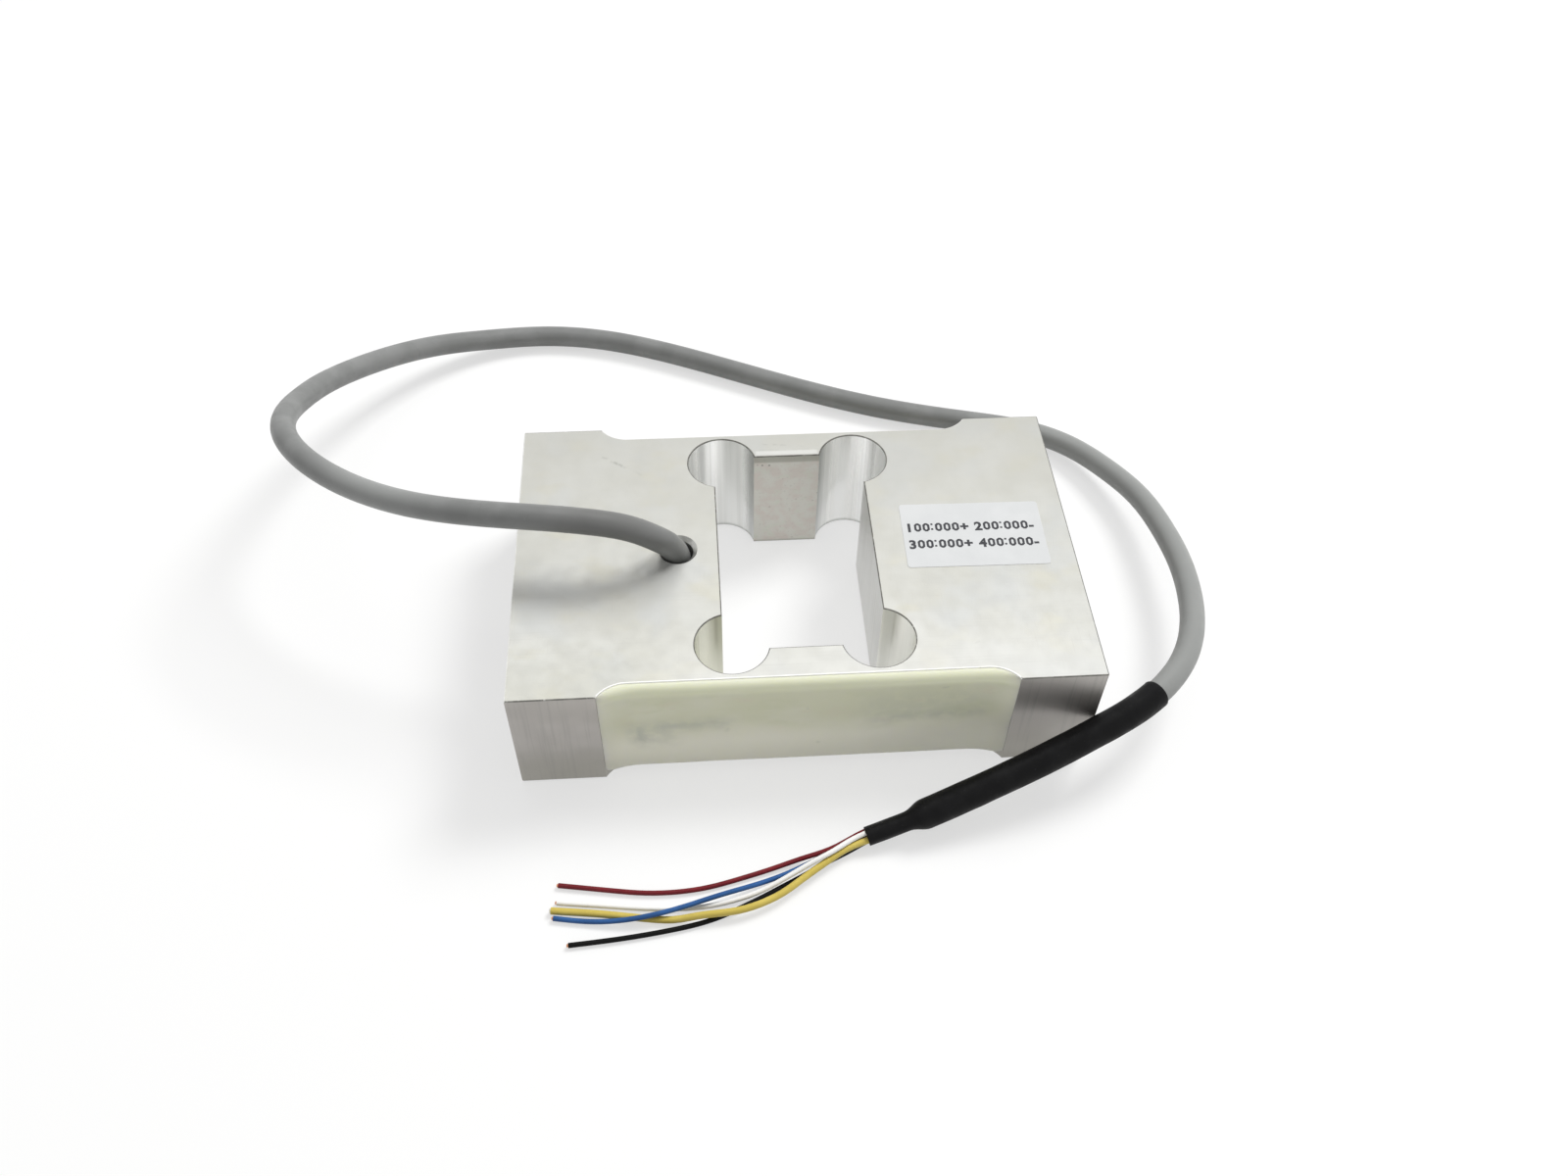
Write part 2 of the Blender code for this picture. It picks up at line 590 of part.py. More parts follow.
def make_cores(finishes):
    """The four cores from the jacket's inner end, down the bore and out along the passage."""
    top = JACKET_END - GAP
    exit_y = WAIST_Y + GAP + CORE_RADIUS
    half = CORE_PITCH / 2
    for place, side, colours in (("front", -1, ("red", "black")), ("rear", 1, ("blue", "white"))):
        for colour, step in zip(colours, (1, -1)):
            x, z = BORE_X + step * half, MID_HEIGHT + step * half
            route = [
                (x, side * 1.6 * half, top),
                (x, side * 1.7 * half, top - CORE_BEND + step * half / 2),
                ((x + BORE_X) / 2, side * CORE_BEND, z + CORE_BEND / 3),
                (BORE_X, side * 2 * CORE_BEND, z),
                (BORE_X, side * WAIST_Y / 2, z),
                (BORE_X, side * (WAIST_Y - 0.8 * CORE_BEND), z),
                (BORE_X - 0.1 * CORE_BEND, side * (exit_y - CORE_BEND / 4), z),
                (BORE_X - 0.4 * CORE_BEND, side * exit_y, z),
                (BOARD_EDGE + GAP, side * exit_y, z),
            ]
            points = smooth_curve(route, 3 * CORE_RADIUS)
            tube(f"{place}_{colour}_core", points, CORE_RADIUS, 8, finishes[colour])


def make_label(finish):
    """The wiring label: a thin film with rounded corners, set a little askew on the top face."""
    dx, dy = LABEL_LENGTH / 2 - LABEL_CORNER, LABEL_WIDTH / 2 - LABEL_CORNER
    outline = []
    for quarter, (x, y) in enumerate(((dx, dy), (-dx, dy), (-dx, -dy), (dx, -dy))):
        start = quarter * math.pi / 2
        outline += arc((x, y), LABEL_CORNER, start, start + math.pi / 2, 3)
    rings = [[(x, y, z) for x, y in outline] for z in (0, LABEL_THICKNESS)]
    label = loft("wiring_label", rings, finish)
    label.location = (LAND_X + LABEL_OFFSET[0], LABEL_OFFSET[1], HEIGHT + GAP)
    label.rotation_euler = (0, 0, LABEL_TURN)


def main():
    clear_scene()
    finishes = {
        "aluminium": material("aluminium", (0.78, 0.78, 0.76), 0.35, 1.0),
        "silicone": material("silicone", (0.66, 0.68, 0.54), 0.45),
        "gauge": material("gauge_foil", (0.62, 0.42, 0.20), 0.4),
        "terminal": material("terminal_copper", (0.80, 0.48, 0.30), 0.35, 0.8),
        "board": material("board", (0.05, 0.25, 0.16), 0.5),
        "resistor": material("resistor", (0.06, 0.06, 0.07), 0.5),
        "ribbon": material("ribbon", (0.55, 0.55, 0.52), 0.5),
        "seal": material("seal", (0.03, 0.03, 0.03), 0.6),
        "jacket": material("jacket", (0.30, 0.31, 0.31), 0.45),
        "sleeve": material("sleeve", (0.015, 0.015, 0.016), 0.55),
        "label": material("label", (0.88, 0.89, 0.90), 0.35),
        "red": material("red_insulation", (0.25, 0.01, 0.02), 0.4),
        "white": material("white_insulation", (0.80, 0.80, 0.80), 0.4),
        "blue": material("blue_insulation", (0.03, 0.12, 0.35), 0.4),
        "yellow": material("yellow_insulation", (0.70, 0.55, 0.10), 0.4),
        "black": material("black_insulation", (0.01, 0.01, 0.01), 0.4),
    }
    make_body(finishes["aluminium"])
    make_waist("front", -1, finishes)
    make_waist("rear", 1, finishes)
    make_seal(finishes["seal"])
    make_cores(finishes)
    make_lead(finishes)
    make_label(finishes["label"])


main()
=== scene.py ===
"""Looks of the strain gauge load cell: finishes, fine surfaces, lead, wires, floor, light and camera.

Metres, +Z up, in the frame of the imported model: the origin is at the bottom centre of the machined
body, and the lead leaves the top face near the -X end.
"""

import math

import bmesh
import bpy
import numpy as np
from mathutils import Matrix, Vector, noise


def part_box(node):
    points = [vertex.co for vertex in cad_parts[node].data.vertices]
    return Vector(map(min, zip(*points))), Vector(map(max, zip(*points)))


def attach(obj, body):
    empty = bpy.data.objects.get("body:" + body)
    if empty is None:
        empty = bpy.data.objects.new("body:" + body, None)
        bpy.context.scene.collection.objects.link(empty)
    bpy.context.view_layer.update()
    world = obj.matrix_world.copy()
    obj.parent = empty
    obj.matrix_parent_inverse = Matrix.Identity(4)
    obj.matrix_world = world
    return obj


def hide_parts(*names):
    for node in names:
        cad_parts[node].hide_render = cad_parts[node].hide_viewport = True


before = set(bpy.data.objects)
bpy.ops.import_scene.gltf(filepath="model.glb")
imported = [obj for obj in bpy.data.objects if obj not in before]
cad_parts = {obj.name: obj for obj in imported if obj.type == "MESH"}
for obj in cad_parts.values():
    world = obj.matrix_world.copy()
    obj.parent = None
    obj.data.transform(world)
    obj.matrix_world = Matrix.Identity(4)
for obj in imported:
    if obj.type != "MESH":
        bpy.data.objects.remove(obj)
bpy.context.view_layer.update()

MM = 0.001

# Camera
CAMERA_PLACE = (-0.0257, -0.2387, 0.3026)
CAMERA_RIGHT = (0.9973, -0.0703, 0.0210)
CAMERA_UP = (0.0403, 0.7637, 0.6443)
CAMERA_FORWARD = (0.0614, 0.6417, -0.7645)
CAMERA_LENS = 30.59
CAMERA_SENSOR = 36
CAMERA_NEAR = 0.01

# Light: each lamp's direction, distance, width and power
SKY_LEVEL = 0.44
KEY = ((0.477, 0.423, 0.770), 2.4, 0.85, 50.0)
OVERHEAD = ((0.04, 0.34, 0.94), 1.2, 1.0, 3.0)

# Machined body
BODY_LOW, BODY_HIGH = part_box("machined_body")
LENGTH = BODY_HIGH.x - BODY_LOW.x
WIDTH = BODY_HIGH.y - BODY_LOW.y
HEIGHT = BODY_HIGH.z - BODY_LOW.z
EDGE_BREAK = 0.0003
CORNER_RADIUS = 0.0004
WAIST_DEPTH = 0.0041
WAIST_RADIUS = 0.0090
OPENING_WIDTH = 0.0418
LOBE_RADIUS = 0.0095
LOBE_X = 0.0187
FLEXURE = 0.0015
WEB = 0.0091
WAIST_Y = WIDTH / 2 - WAIST_DEPTH
FLAT_Y = WAIST_Y - WEB
LOBE_Y = WAIST_Y - FLEXURE - LOBE_RADIUS

# End holes and their threads
END_HOLE_RADIUS = 0.0034
END_HOLE_DEPTH = 0.020
END_HOLE_MARGIN_Y = 0.0125
END_HOLE_MARGIN_Z = 0.0090
COUNTERSINK = 0.0008
THREAD_PITCH = 0.00125
THREAD_ROOT = 0.0040
THREAD_START = 0.0004
THREAD_TURNS = 12
THREAD_OVERLAP = 0.00005
THREAD_RUN_IN = 0.8
THREAD_RUN_OUT = 1.5
# The thread's profile: shares of its pitch and of its depth
THREAD_PROFILE = ((0, 0), (0.12, 0), (0.44, 1), (0.56, 1), (0.88, 0))

# Bore and passage
BORE_RADIUS = 0.0041
BORE_COUNTERSINK = 0.0011
BORE_DEPTH = 0.020
PASSAGE_RADIUS = 0.0020
PASSAGE_TO_LOBE = 0.0015
BORE_X = -(LOBE_X + LOBE_RADIUS + PASSAGE_TO_LOBE + PASSAGE_RADIUS)
MID_HEIGHT = HEIGHT / 2
DRILL_POINT = math.radians(118)
DRILL_TIP = 0.02
OVERRUN = 0.002

# Silicone coats. The values for each side are kept by the side's direction along Y.
GAP = 0.0003
COAT_LOW, COAT_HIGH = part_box("front_silicone_coat")
COAT_END_MARGIN = 0.0008
PAD_X = COAT_HIGH.x + COAT_END_MARGIN
WAIST_ARC_X = PAD_X - math.sqrt(WAIST_RADIUS**2 - (WAIST_RADIUS - WAIST_DEPTH) ** 2)
COAT_CLEARANCE = 0.0001
COAT_REACH = PAD_X - COAT_CLEARANCE
COAT_BED = 0.00003
COAT_THICKNESS = 0.0024
COAT_END_THICKNESS = 0.00006
COAT_ROUNDING = {-1: 0.0030, 1: 0.0050}
COAT_DROP = {-1: 0.0, 1: 0.0008}
COAT_CORNER_RADIUS = 0.0032
# Painted shade: the rear coat's colours are darker, a shaded copy of the front's.
COAT_PAINTED_SHADE = {"front": 1.0, "rear": 0.66}
GAUGE_FILM = 0.00013
FOIL_EDGE = 0.00002
# The coats' unevenness: its depth, its fade at the ends, and waves by length, height, seed and share
COAT_WAVE = 0.00016
COAT_WAVE_FADE = 0.006
COAT_WAVES = ((0.016, 0.011, 3.0, 0.5), (0.006, 0.005, 7.0, 0.15))
# Hollows in the coats: the room round each inner piece, and the cores' bed beside the passage
BED_GAP = 0.00015
CORE_BED_LEFT = 0.0036
CORE_BED_RIGHT = 0.0024
CORE_BED_HALF_HEIGHT = 0.0013
CORE_BED_DEPTHS = (-0.0005, 0.0015)

# Lead, sleeve and wires
JACKET_RADIUS = 0.0034
JACKET_END = 0.027
JACKET_STRAIGHT = 0.0055
SLIP_GAP = 0.00025
SLEEVE_WALL = 0.0003
SLEEVE_LENGTH = 0.086
JACKET_IN_SLEEVE = 0.016
NECK_LENGTH = 0.0110
NECK_TAPER = 0.0050
BUNDLE_RADIUS = 0.00215
WIRE_GAP = 0.0001
WIRE_RADIUS = 0.00065
SHIELD_WIRE_RADIUS = 0.00090
CORD_STEP = 0.0020
HELD_POINTS = 23
# The sleeve's rounded lips, its unevenness and the wires that show through its neck
SLEEVE_LIP = 0.00012
SLEEVE_RING_STEP = 0.0007
SLEEVE_RING_MARGIN = 0.0005
SLEEVE_WAVE_LENGTH = 0.011
SLEEVE_WAVE_ROUND = 0.9
SLEEVE_WAVES = ((1.0, 0.00010), (3.1, 0.00004))
NECK_LOBES = 5
NECK_LOBE_DEPTH = 0.00009
NECK_LOBE_TURN = 0.6
# Strands at a wire's cut end: their radius as a share of the wire's, their spacing and rounding as
# shares of their own
STRAND = 0.21
OUTER_STRANDS = 6
STRAND_SPACING = 2.1
STRAND_ROUNDING = 0.3
STRAND_HELD = 0.0012
STRAND_OUT = 0.00035
STRAND_UNEVEN = 0.00012
STRAND_PHASE = 2.3

# The lead's centreline in millimetres, from the mouth of its bore to the sleeve's tip
LEAD_ROUTE = [
    (-33.1, -1.2, 38.1), (-36.8, -3.9, 44.8), (-43, -4.9, 49.9),
    (-52.5, -4.7, 52.8), (-64, -3.3, 53.5), (-81, 0.2, 52.4), (-100.5, 6.4, 50.5), (-118, 16, 48.8),
    (-132, 28.5, 47.3), (-139.6, 41, 44.8), (-142, 53, 40.9), (-141, 65, 36), (-138, 78.5, 30),
    (-131.5, 93.5, 23), (-122, 108, 16), (-109.5, 120, 9.8), (-95, 127.3, 5.5), (-78.5, 130.4, 3.8),
    (-61.5, 129, 3.5), (-28.5, 117.5, 3.5), (4, 102, 3.5), (36, 88.7, 3.5), (64, 80.8, 3.5),
    (82, 75.2, 3.7), (93.5, 67.3, 4.6), (102.5, 54.5, 6.7), (109.4, 38.5, 9.5), (112.2, 22.5, 12),
    (112.9, 7.5, 14.2), (111.7, -6, 16), (108.4, -19.5, 17.6), (102.7, -31, 18.6), (95.3, -39.5, 19),
    (84.7, -47.2, 18.9), (70.4, -54, 17.2), (53.5, -60, 13.1), (37.8, -64.7, 8.9), (26.3, -67.8, 5.8),
    (13.6, -70.8, 2.9),
]

# Each wire's angle in the bundle, counted from the side away from the body, and its free run in millimetres
WIRES = {
    "red": (164, [
        (4.5, -73.4, 2.5), (-2.8, -75.2, 1.6), (-10.9, -77.4, 0.9), (-19.1, -79.6, 0.7),
        (-27.2, -81.5, 0.7), (-35.1, -82.3, 0.7), (-43, -82.1, 0.7), (-50.9, -81, 0.7),
        (-58.8, -79.7, 0.7), (-64.3, -78.8, 0.7),
    ]),
    "white": (101, [
        (8.8, -72.6, 4.2), (4.5, -75.2, 4.3), (-0.4, -77.5, 3.9), (-5.2, -79.8, 3.1), (-9.5, -81.8, 2.3),
        (-14.5, -83.8, 1.5), (-20.7, -85.5, 1), (-27.5, -86.6, 0.7), (-35.2, -86.8, 0.7),
        (-43.6, -86.2, 0.7), (-52, -85.1, 0.7), (-59.2, -84.2, 0.7), (-64.5, -83.5, 0.7),
    ]),
    "blue": (226.5, [
        (9.2, -71.4, 1.2), (3, -74.2, 0.9), (-3.5, -77.3, 0.8), (-9.6, -79.8, 0.9), (-16.6, -82.2, 1.5),
        (-24.6, -84.7, 2.4), (-32.5, -87.2, 2.8), (-40.3, -89.1, 2.9), (-48.1, -89.6, 1.8),
        (-55.9, -89.1, 0.9), (-65.2, -87.6, 0.75),
    ]),
    "yellow": (15, [
        (9, -73.5, 2.8), (2.9, -77.1, 2.7), (-3.2, -81.2, 2.6), (-8.8, -85, 2.5), (-14.2, -87.5, 2.5),
        (-19.6, -89, 2.5), (-24.8, -89.5, 2.5), (-30, -89.8, 2.3), (-35.2, -90, 1.4), (-40.7, -89.4, 1),
        (-45.6, -88.6, 1), (-53.4, -87.3, 1), (-61, -86.3, 1), (-65.8, -85.7, 1),
    ]),
    "black": (289, [
        (9.4, -73.3, 0.8), (3.3, -76.2, 0.7), (-2.7, -79.4, 0.7), (-8.7, -82.4, 0.7), (-14.1, -85.1, 0.7),
        (-19.6, -87.6, 0.7), (-24.5, -89.6, 0.7), (-30, -91.2, 0.7), (-35.3, -92.2, 0.7),
        (-49.5, -94, 0.7), (-61.3, -94.9, 0.7),
    ]),
}

# Label and its print
LABEL_LENGTH = 0.0386
LABEL_WIDTH = 0.0230
LABEL_TURN = math.radians(-0.7)
LABEL_CORNER = 0.0010
LABEL_FILM = 0.00010
LABEL_LIFT = 0.00001
LABEL_WALL = 0.7 * LABEL_FILM
LABEL_EDGE = 0.00004
INK = 0.00002
CHARACTER_INK = 0.000008
CAP_HEIGHT = 0.72
CHARACTER_WEIGHT = 0.00017
PRINT_HEIGHT = 0.0030
PRINT_STROKE = 0.00062
DOT_CUT = PRINT_STROKE / 5
PRINT_GROUPS = (
    ("1", (-0.0184, 0.0013), "+"), ("2", (0.0006, 0.0013), "-"),
    ("3", (-0.0181, -0.0048), "+"), ("4", (0.0010, -0.0048), "-"),
)
FRAME_WIDTH = 0.0019
FRAME_PITCH = 0.00232
FIRST_FRAMES = (0.00245, 2)
COLON = 0.0070
COLON_RISES = (0.15, 0.75)
LAST_FRAMES = (0.0082, 3)
SIGN = 0.0150

# Marks are placed in two of the axes: seen from above, or from the front
ABOVE = (0, 1)
AHEAD = (0, 2)
# Handling marks on the top face: middle, half size, turn and depth
HANDLING_MARKS = (
    ((-0.0478, 0.0331), (0.0026, 0.00035), -0.62, 0.85),
    ((-0.0512, 0.0356), (0.0016, 0.00025), -0.45, 0.60),
    ((-0.0430, 0.0298), (0.0020, 0.00020), -0.60, 0.50),
    ((-0.0010, 0.0388), (0.0060, 0.00014), -0.10, 0.55),
    ((0.0010, 0.0368), (0.0090, 0.00008), -0.02, 0.30),
    ((-0.0560, -0.0190), (0.0030, 0.00008), -0.50, 0.30),
    ((0.0420, -0.0360), (0.0030, 0.00010), 0.35, 0.25),
)
# Dark streaks in the front lobes: place, half width and depth
LOBE_STREAKS = (((0.0240, -0.0330), 0.0002, 0.34), ((-0.0225, -0.0330), 0.0004, 0.45))
FLAT_DENTS = ((-0.0070, 0.0325), (-0.0050, 0.0324))
# Shadows of what lies under the coats, and small marks: middle, half size, softness, turn and depth
COAT_SHADOWS = (
    ((-0.0432, 0.0165), (0.0016, 0.0046), 0.0030, 0.16, 0.62),
    ((-0.0300, 0.0200), (0.0100, 0.0016), 0.0032, 0.03, 0.50),
    ((-0.0375, 0.0150), (0.0040, 0.0035), 0.0036, 0.0, 0.26),
    ((0.0335, 0.0198), (0.0125, 0.0006), 0.0028, 0.03, 0.48),
    ((0.0300, 0.0250), (0.0160, 0.0050), 0.0050, 0.0, 0.22),
    ((0.0190, 0.0180), (0.0030, 0.0020), 0.0030, 0.0, 0.22),
    ((-0.0205, 0.0169), (0.0004, 0.0008), 0.0007, -0.6, 0.45),
    ((0.0030, 0.0095), (0.0003, 0.0003), 0.0006, 0.0, 0.40),
    ((-0.0002, 0.0250), (0.0002, 0.0006), 0.0005, 0.2, 0.30),
    ((0.0345, 0.0315), (0.0010, 0.0002), 0.0005, 0.2, 0.40),
)

# Floor
FLOOR_HALF = 3.0
FLOOR_DROP = 0.0002
FLOOR_COLOUR = (0.78, 0.78, 0.78, 1)
FLOOR_SEEN_COLOUR = (0.345, 0.345, 0.342, 1)
FLOOR_GLOW = 0.60

# Facets of the fine surfaces
EDGE_STEPS = 3
CORNER_STEPS = 4
LOBE_STEPS = 72
WAIST_STEPS = 24
HOLE_STEPS = 72
THREAD_STEPS = 40
COAT_STATIONS = 96
COAT_ROUND_STEPS = 14
COAT_FLAT_STEPS = 16
SPLINE_STEPS = 24
JACKET_SIDES = 32
WIRE_SIDES = 20
SLEEVE_SIDES = 60
SLEEVE_BORE_RINGS = 50
STRAND_SIDES = 12
LABEL_CORNER_STEPS = 8
SMOOTH_ANGLE = math.radians(32)
BODY_SMOOTH_ANGLE = math.radians(12)
SLEEVE_SMOOTH_ANGLE = math.radians(50)
LABEL_SMOOTH_ANGLE = math.radians(20)


class Finish:
    """A material and its nodes, which read the place on the object in metres."""

    def __init__(self, name, colour, roughness, metallic=0.0, **sockets):
        self.material = bpy.data.materials.new(name)
        self.material.use_nodes = True
        self.tree = self.material.node_tree
        self.shader = self.tree.nodes["Principled BSDF"]
        self.place = self.node("ShaderNodeTexCoord").outputs["Object"]
        self.axes = tuple(self.node("ShaderNodeSeparateXYZ", {"Vector": self.place}).outputs)
        self.x, self.y, self.z = self.axes
        self.colour = (*colour, 1.0)
        self.normal = None
        self.set("Base Color", self.colour)
        self.set("Roughness", roughness)
        self.set("Metallic", metallic)
        for socket, value in sockets.items():
            self.set(socket.replace("_", " "), value)

    def feed(self, socket, value):
        if isinstance(value, bpy.types.NodeSocket):
            self.tree.links.new(value, socket)
        else:
            socket.default_value = value

    def set(self, name, value):
        self.feed(self.shader.inputs[name], value)

    def node(self, kind, values=None, **settings):
        made = self.tree.nodes.new(kind)
        for name, value in settings.items():
            setattr(made, name, value)
        for name, value in (values or {}).items():
            self.feed(made.inputs[name], value)
        return made

    def calc(self, operation, first, second=0.5):
        return self.node("ShaderNodeMath", {0: first, 1: second}, operation=operation).outputs[0]

    def both(self, first, second):
        """The product of two factors."""
        return self.calc("MULTIPLY", first, second)

    def range(self, value, start, end, low=0.0, high=1.0, smooth=True):
        """Maps a value from start..end to low..high, held at both ends."""
        kind = "SMOOTHSTEP" if smooth else "LINEAR"
        values = {"Value": value, 1: start, 2: end, 3: low, 4: high}
        return self.node("ShaderNodeMapRange", values, interpolation_type=kind).outputs[0]

    def spread(self, size, stretch, seed):
        """The place in units of the size given times the stretch, moved along by the seed."""
        scale = [1 / (size * share) for share in stretch]
        values = {"Vector": self.place, "Scale": scale, "Location": (seed, seed, seed)}
        return self.node("ShaderNodeMapping", values).outputs[0]

    def noise(self, size, stretch=(1, 1, 1), detail=3.0, seed=0.0):
        """Noise from about 0.3 to 0.7, with features of the size given times the stretch."""
        place = self.spread(size, stretch, seed)
        values = {"Vector": place, "Scale": 1.0, "Detail": detail, "Roughness": 0.5}
        return self.node("ShaderNodeTexNoise", values).outputs[0]

    def specks(self, spacing, radius, seed=0.0):
        """Small round spots: 1 at their middle and 0 outside the radius, as a share of their spacing."""
        values = {"Vector": self.spread(spacing, (1, 1, 1), seed), "Scale": 1.0}
        return self.range(self.node("ShaderNodeTexVoronoi", values).outputs["Distance"], radius, radius / 2)

    def patch(self, axes, centre, half, soft, turn=0.0):
        """1 inside a soft-edged rectangle in two of the axes, and 0 outside it."""
        across = self.calc("SUBTRACT", self.axes[axes[0]], centre[0])
        up = self.calc("SUBTRACT", self.axes[axes[1]], centre[1])
        cosine, sine = math.cos(turn), math.sin(turn)
        first = self.calc("ADD", self.both(across, cosine), self.both(up, sine))
        second = self.calc("SUBTRACT", self.both(up, cosine), self.both(across, sine))
        inside = [
            self.range(self.calc("ABSOLUTE", value), size + soft, size - soft)
            for value, size in ((first, half[0]), (second, half[1]))
        ]
        return self.both(*inside)

    def rings(self, centre, spacing):
        """A wave from -1 to 1 in circles round a point, as a fly cutter leaves them."""
        away = self.node("ShaderNodeVectorMath", {0: self.place, 1: centre}, operation="DISTANCE")
        return self.calc("SINE", self.both(away.outputs["Value"], 2 * math.pi / spacing))

    def tint(self, factor, colour, strength=1.0):
        """Mixes a colour in where the factor is high."""
        if strength < 1:
            factor = self.both(factor, strength)
        values = {0: factor, 6: self.colour, 7: (*colour, 1.0)}
        self.colour = self.node("ShaderNodeMix", values, data_type="RGBA").outputs[2]
        self.set("Base Color", self.colour)

    def mottle(self, size, start, end, colour, strength=1.0, **noise):
        """Mixes a colour in as noise of the size given goes from start to end."""
        self.tint(self.range(self.noise(size, **noise), start, end, 0, strength), colour)

    def roughen(self, size, low, high, start=0.3, end=0.7, **noise):
        """Lets the roughness vary from low to high with noise of the size given."""
        self.set("Roughness", self.range(self.noise(size, **noise), start, end, low, high))

    def bump(self, height, distance, strength=1.0):
        values = {"Height": height, "Distance": distance, "Strength": strength}
        if self.normal:
            values["Normal"] = self.normal
        self.normal = self.node("ShaderNodeBump", values).outputs[0]
        self.set("Normal", self.normal)

    def grain(self, size, distance, strength=0.5, detail=2, **noise):
        """Bumps with noise of the size given."""
        self.bump(self.noise(size, detail=detail, **noise), distance, strength)


def milled_aluminium():
    """Fly-cut faces: pale, faintly mottled, with wide arcs, fine lines and a few handling marks, painted
    shade towards the back and at the front left, and painted highlights at the front right and beside the
    far flat.
    """
    finish = Finish("milled_aluminium", (0.555, 0.553, 0.510), 0.40, 0.40)
    finish.mottle(0.016, 0.38, 0.66, (0.597, 0.598, 0.565), detail=4)
    finish.mottle(0.009, 0.52, 0.70, (0.580, 0.565, 0.475), 0.6, stretch=(1.6, 1, 1), seed=3)
    finish.mottle(0.020, 0.48, 0.66, (0.548, 0.560, 0.555), 0.6, seed=12)
    # Painted shade: darker towards the back.
    finish.tint(finish.range(finish.y, -0.030, 0.046, 0, 0.55, smooth=False), (0.427, 0.425, 0.390))
    # Painted shade at the front left, and a painted highlight at the front right.
    front = finish.range(finish.y, -0.024, -0.042)
    left = finish.range(finish.x, -0.022, -0.050)
    finish.tint(finish.both(front, left), (0.50, 0.50, 0.44), 0.35)
    right = finish.calc("SUBTRACT", 1.0, left)
    finish.tint(finish.both(front, right), (0.665, 0.665, 0.635), 0.55)
    # A painted highlight: a paler strip beside the far flat.
    beside_flat = finish.patch(ABOVE, (0.0, FLAT_Y + 0.0014), (0.0088, 0.0008), 0.0004)
    finish.tint(beside_flat, (0.72, 0.72, 0.70), 0.5)
    lines = finish.noise(0.00028, (70, 1, 1), detail=2)
    finish.tint(finish.range(lines, 0.58, 0.74, 0, 0.30), (0.50, 0.50, 0.47))
    finish.mottle(0.00034, 0.62, 0.76, (0.50, 0.49, 0.45), 0.30, stretch=(1, 40, 1), seed=7)
    worn = finish.range(finish.noise(0.0014, detail=4, seed=21), 0.40, 0.62)
    for centre, half, turn, depth in HANDLING_MARKS:
        mark = finish.patch(ABOVE, centre, half, 0.0005, turn)
        finish.tint(finish.both(mark, worn), (0.34, 0.34, 0.31), depth)
    finish.roughen(0.004, 0.36, 0.50, detail=4, seed=5)
    finish.bump(finish.rings((-0.34, 0.06, 0.018), 0.0009), 0.0000012)
    finish.bump(lines, 0.000014, 0.4)
    finish.bump(finish.specks(0.009, 0.020, seed=2), 0.00008, 0.5)
    return finish.material


def side_aluminium():
    """Side and end faces: a closer finish with upright grain, painted darker than the top as painted shade,
    and darker still towards the bottom.
    """
    # Painted shade: the base colour is darker than the top's, for the shaded floor that these faces
    # reflect.
    finish = Finish("side_aluminium", (0.400, 0.381, 0.358), 0.30, 0.78)
    finish.mottle(0.012, 0.36, 0.66, (0.455, 0.435, 0.412), stretch=(1.5, 1.5, 1), detail=2)
    # Painted shade: darker towards the bottom.
    finish.tint(finish.range(finish.z, 0.020, 0.002), (0.345, 0.340, 0.290), 0.5)
    finish.mottle(0.0008, 0.54, 0.74, (0.30, 0.29, 0.275), 0.30, stretch=(1, 1, 40), detail=1)
    return finish.material


def bored_aluminium():
    """The lobes of the opening: bright, with upright bands and cutter lines, and painted shade: dark flanks
    by the flats, darker front lobes, a darker patch in the rear left lobe and a darker foot.
    """
    finish = Finish("bored_aluminium", (0.95, 0.952, 0.932), 0.30, 0.88)
    bands = finish.noise(0.0036, (1, 1, 50), detail=1.5)
    finish.tint(finish.range(bands, 0.50, 0.66, 0, 0.50), (0.70, 0.705, 0.690))
    finish.mottle(0.0038, 0.52, 0.62, (0.98, 0.985, 0.975), 0.7, stretch=(1, 1, 50), detail=1.5, seed=6)
    lines = finish.noise(0.0008, (1, 1, 90), detail=2, seed=9)
    finish.tint(finish.range(lines, 0.56, 0.72, 0, 0.22), (0.66, 0.66, 0.63))
    # Painted shade: the front lobes darker and warmer, the front left one most.
    front = finish.range(finish.y, -0.010, -0.030)
    left = finish.range(finish.x, 0.002, -0.002)
    finish.tint(finish.both(front, left), (0.61, 0.615, 0.495), 0.90)
    finish.tint(front, (0.75, 0.745, 0.625), 0.40)
    # Painted shade: dark flanks by the flats.
    beside_flat = finish.range(finish.calc("ABSOLUTE", finish.x), 0.0128, 0.0096)
    finish.tint(beside_flat, (0.36, 0.375, 0.370), 0.60)
    # Painted shade: a darker patch in the middle of the rear left lobe.
    middle = finish.patch(ABOVE, (-0.0168, 0.0400), (0.0022, 0.0060), 0.0016)
    finish.tint(middle, (0.62, 0.635, 0.625), 0.16)
    high = finish.range(finish.z, 0.020, 0.028)
    for place, width, depth in LOBE_STREAKS:
        streak = finish.patch(ABOVE, place, (width, 0.0100), 0.0005)
        finish.tint(finish.both(streak, high), (0.40, 0.39, 0.31), depth)
    # Painted shade: darker at the foot, where the lobes meet the floor.
    finish.tint(finish.range(finish.z, 0.0016, 0.0002), (0.40, 0.42, 0.39), 0.6)
    finish.set("Roughness", finish.range(bands, 0.35, 0.65, 0.22, 0.36))
    finish.bump(bands, 0.00012, 0.3)
    finish.bump(lines, 0.000020, 0.4)
    return finish.material


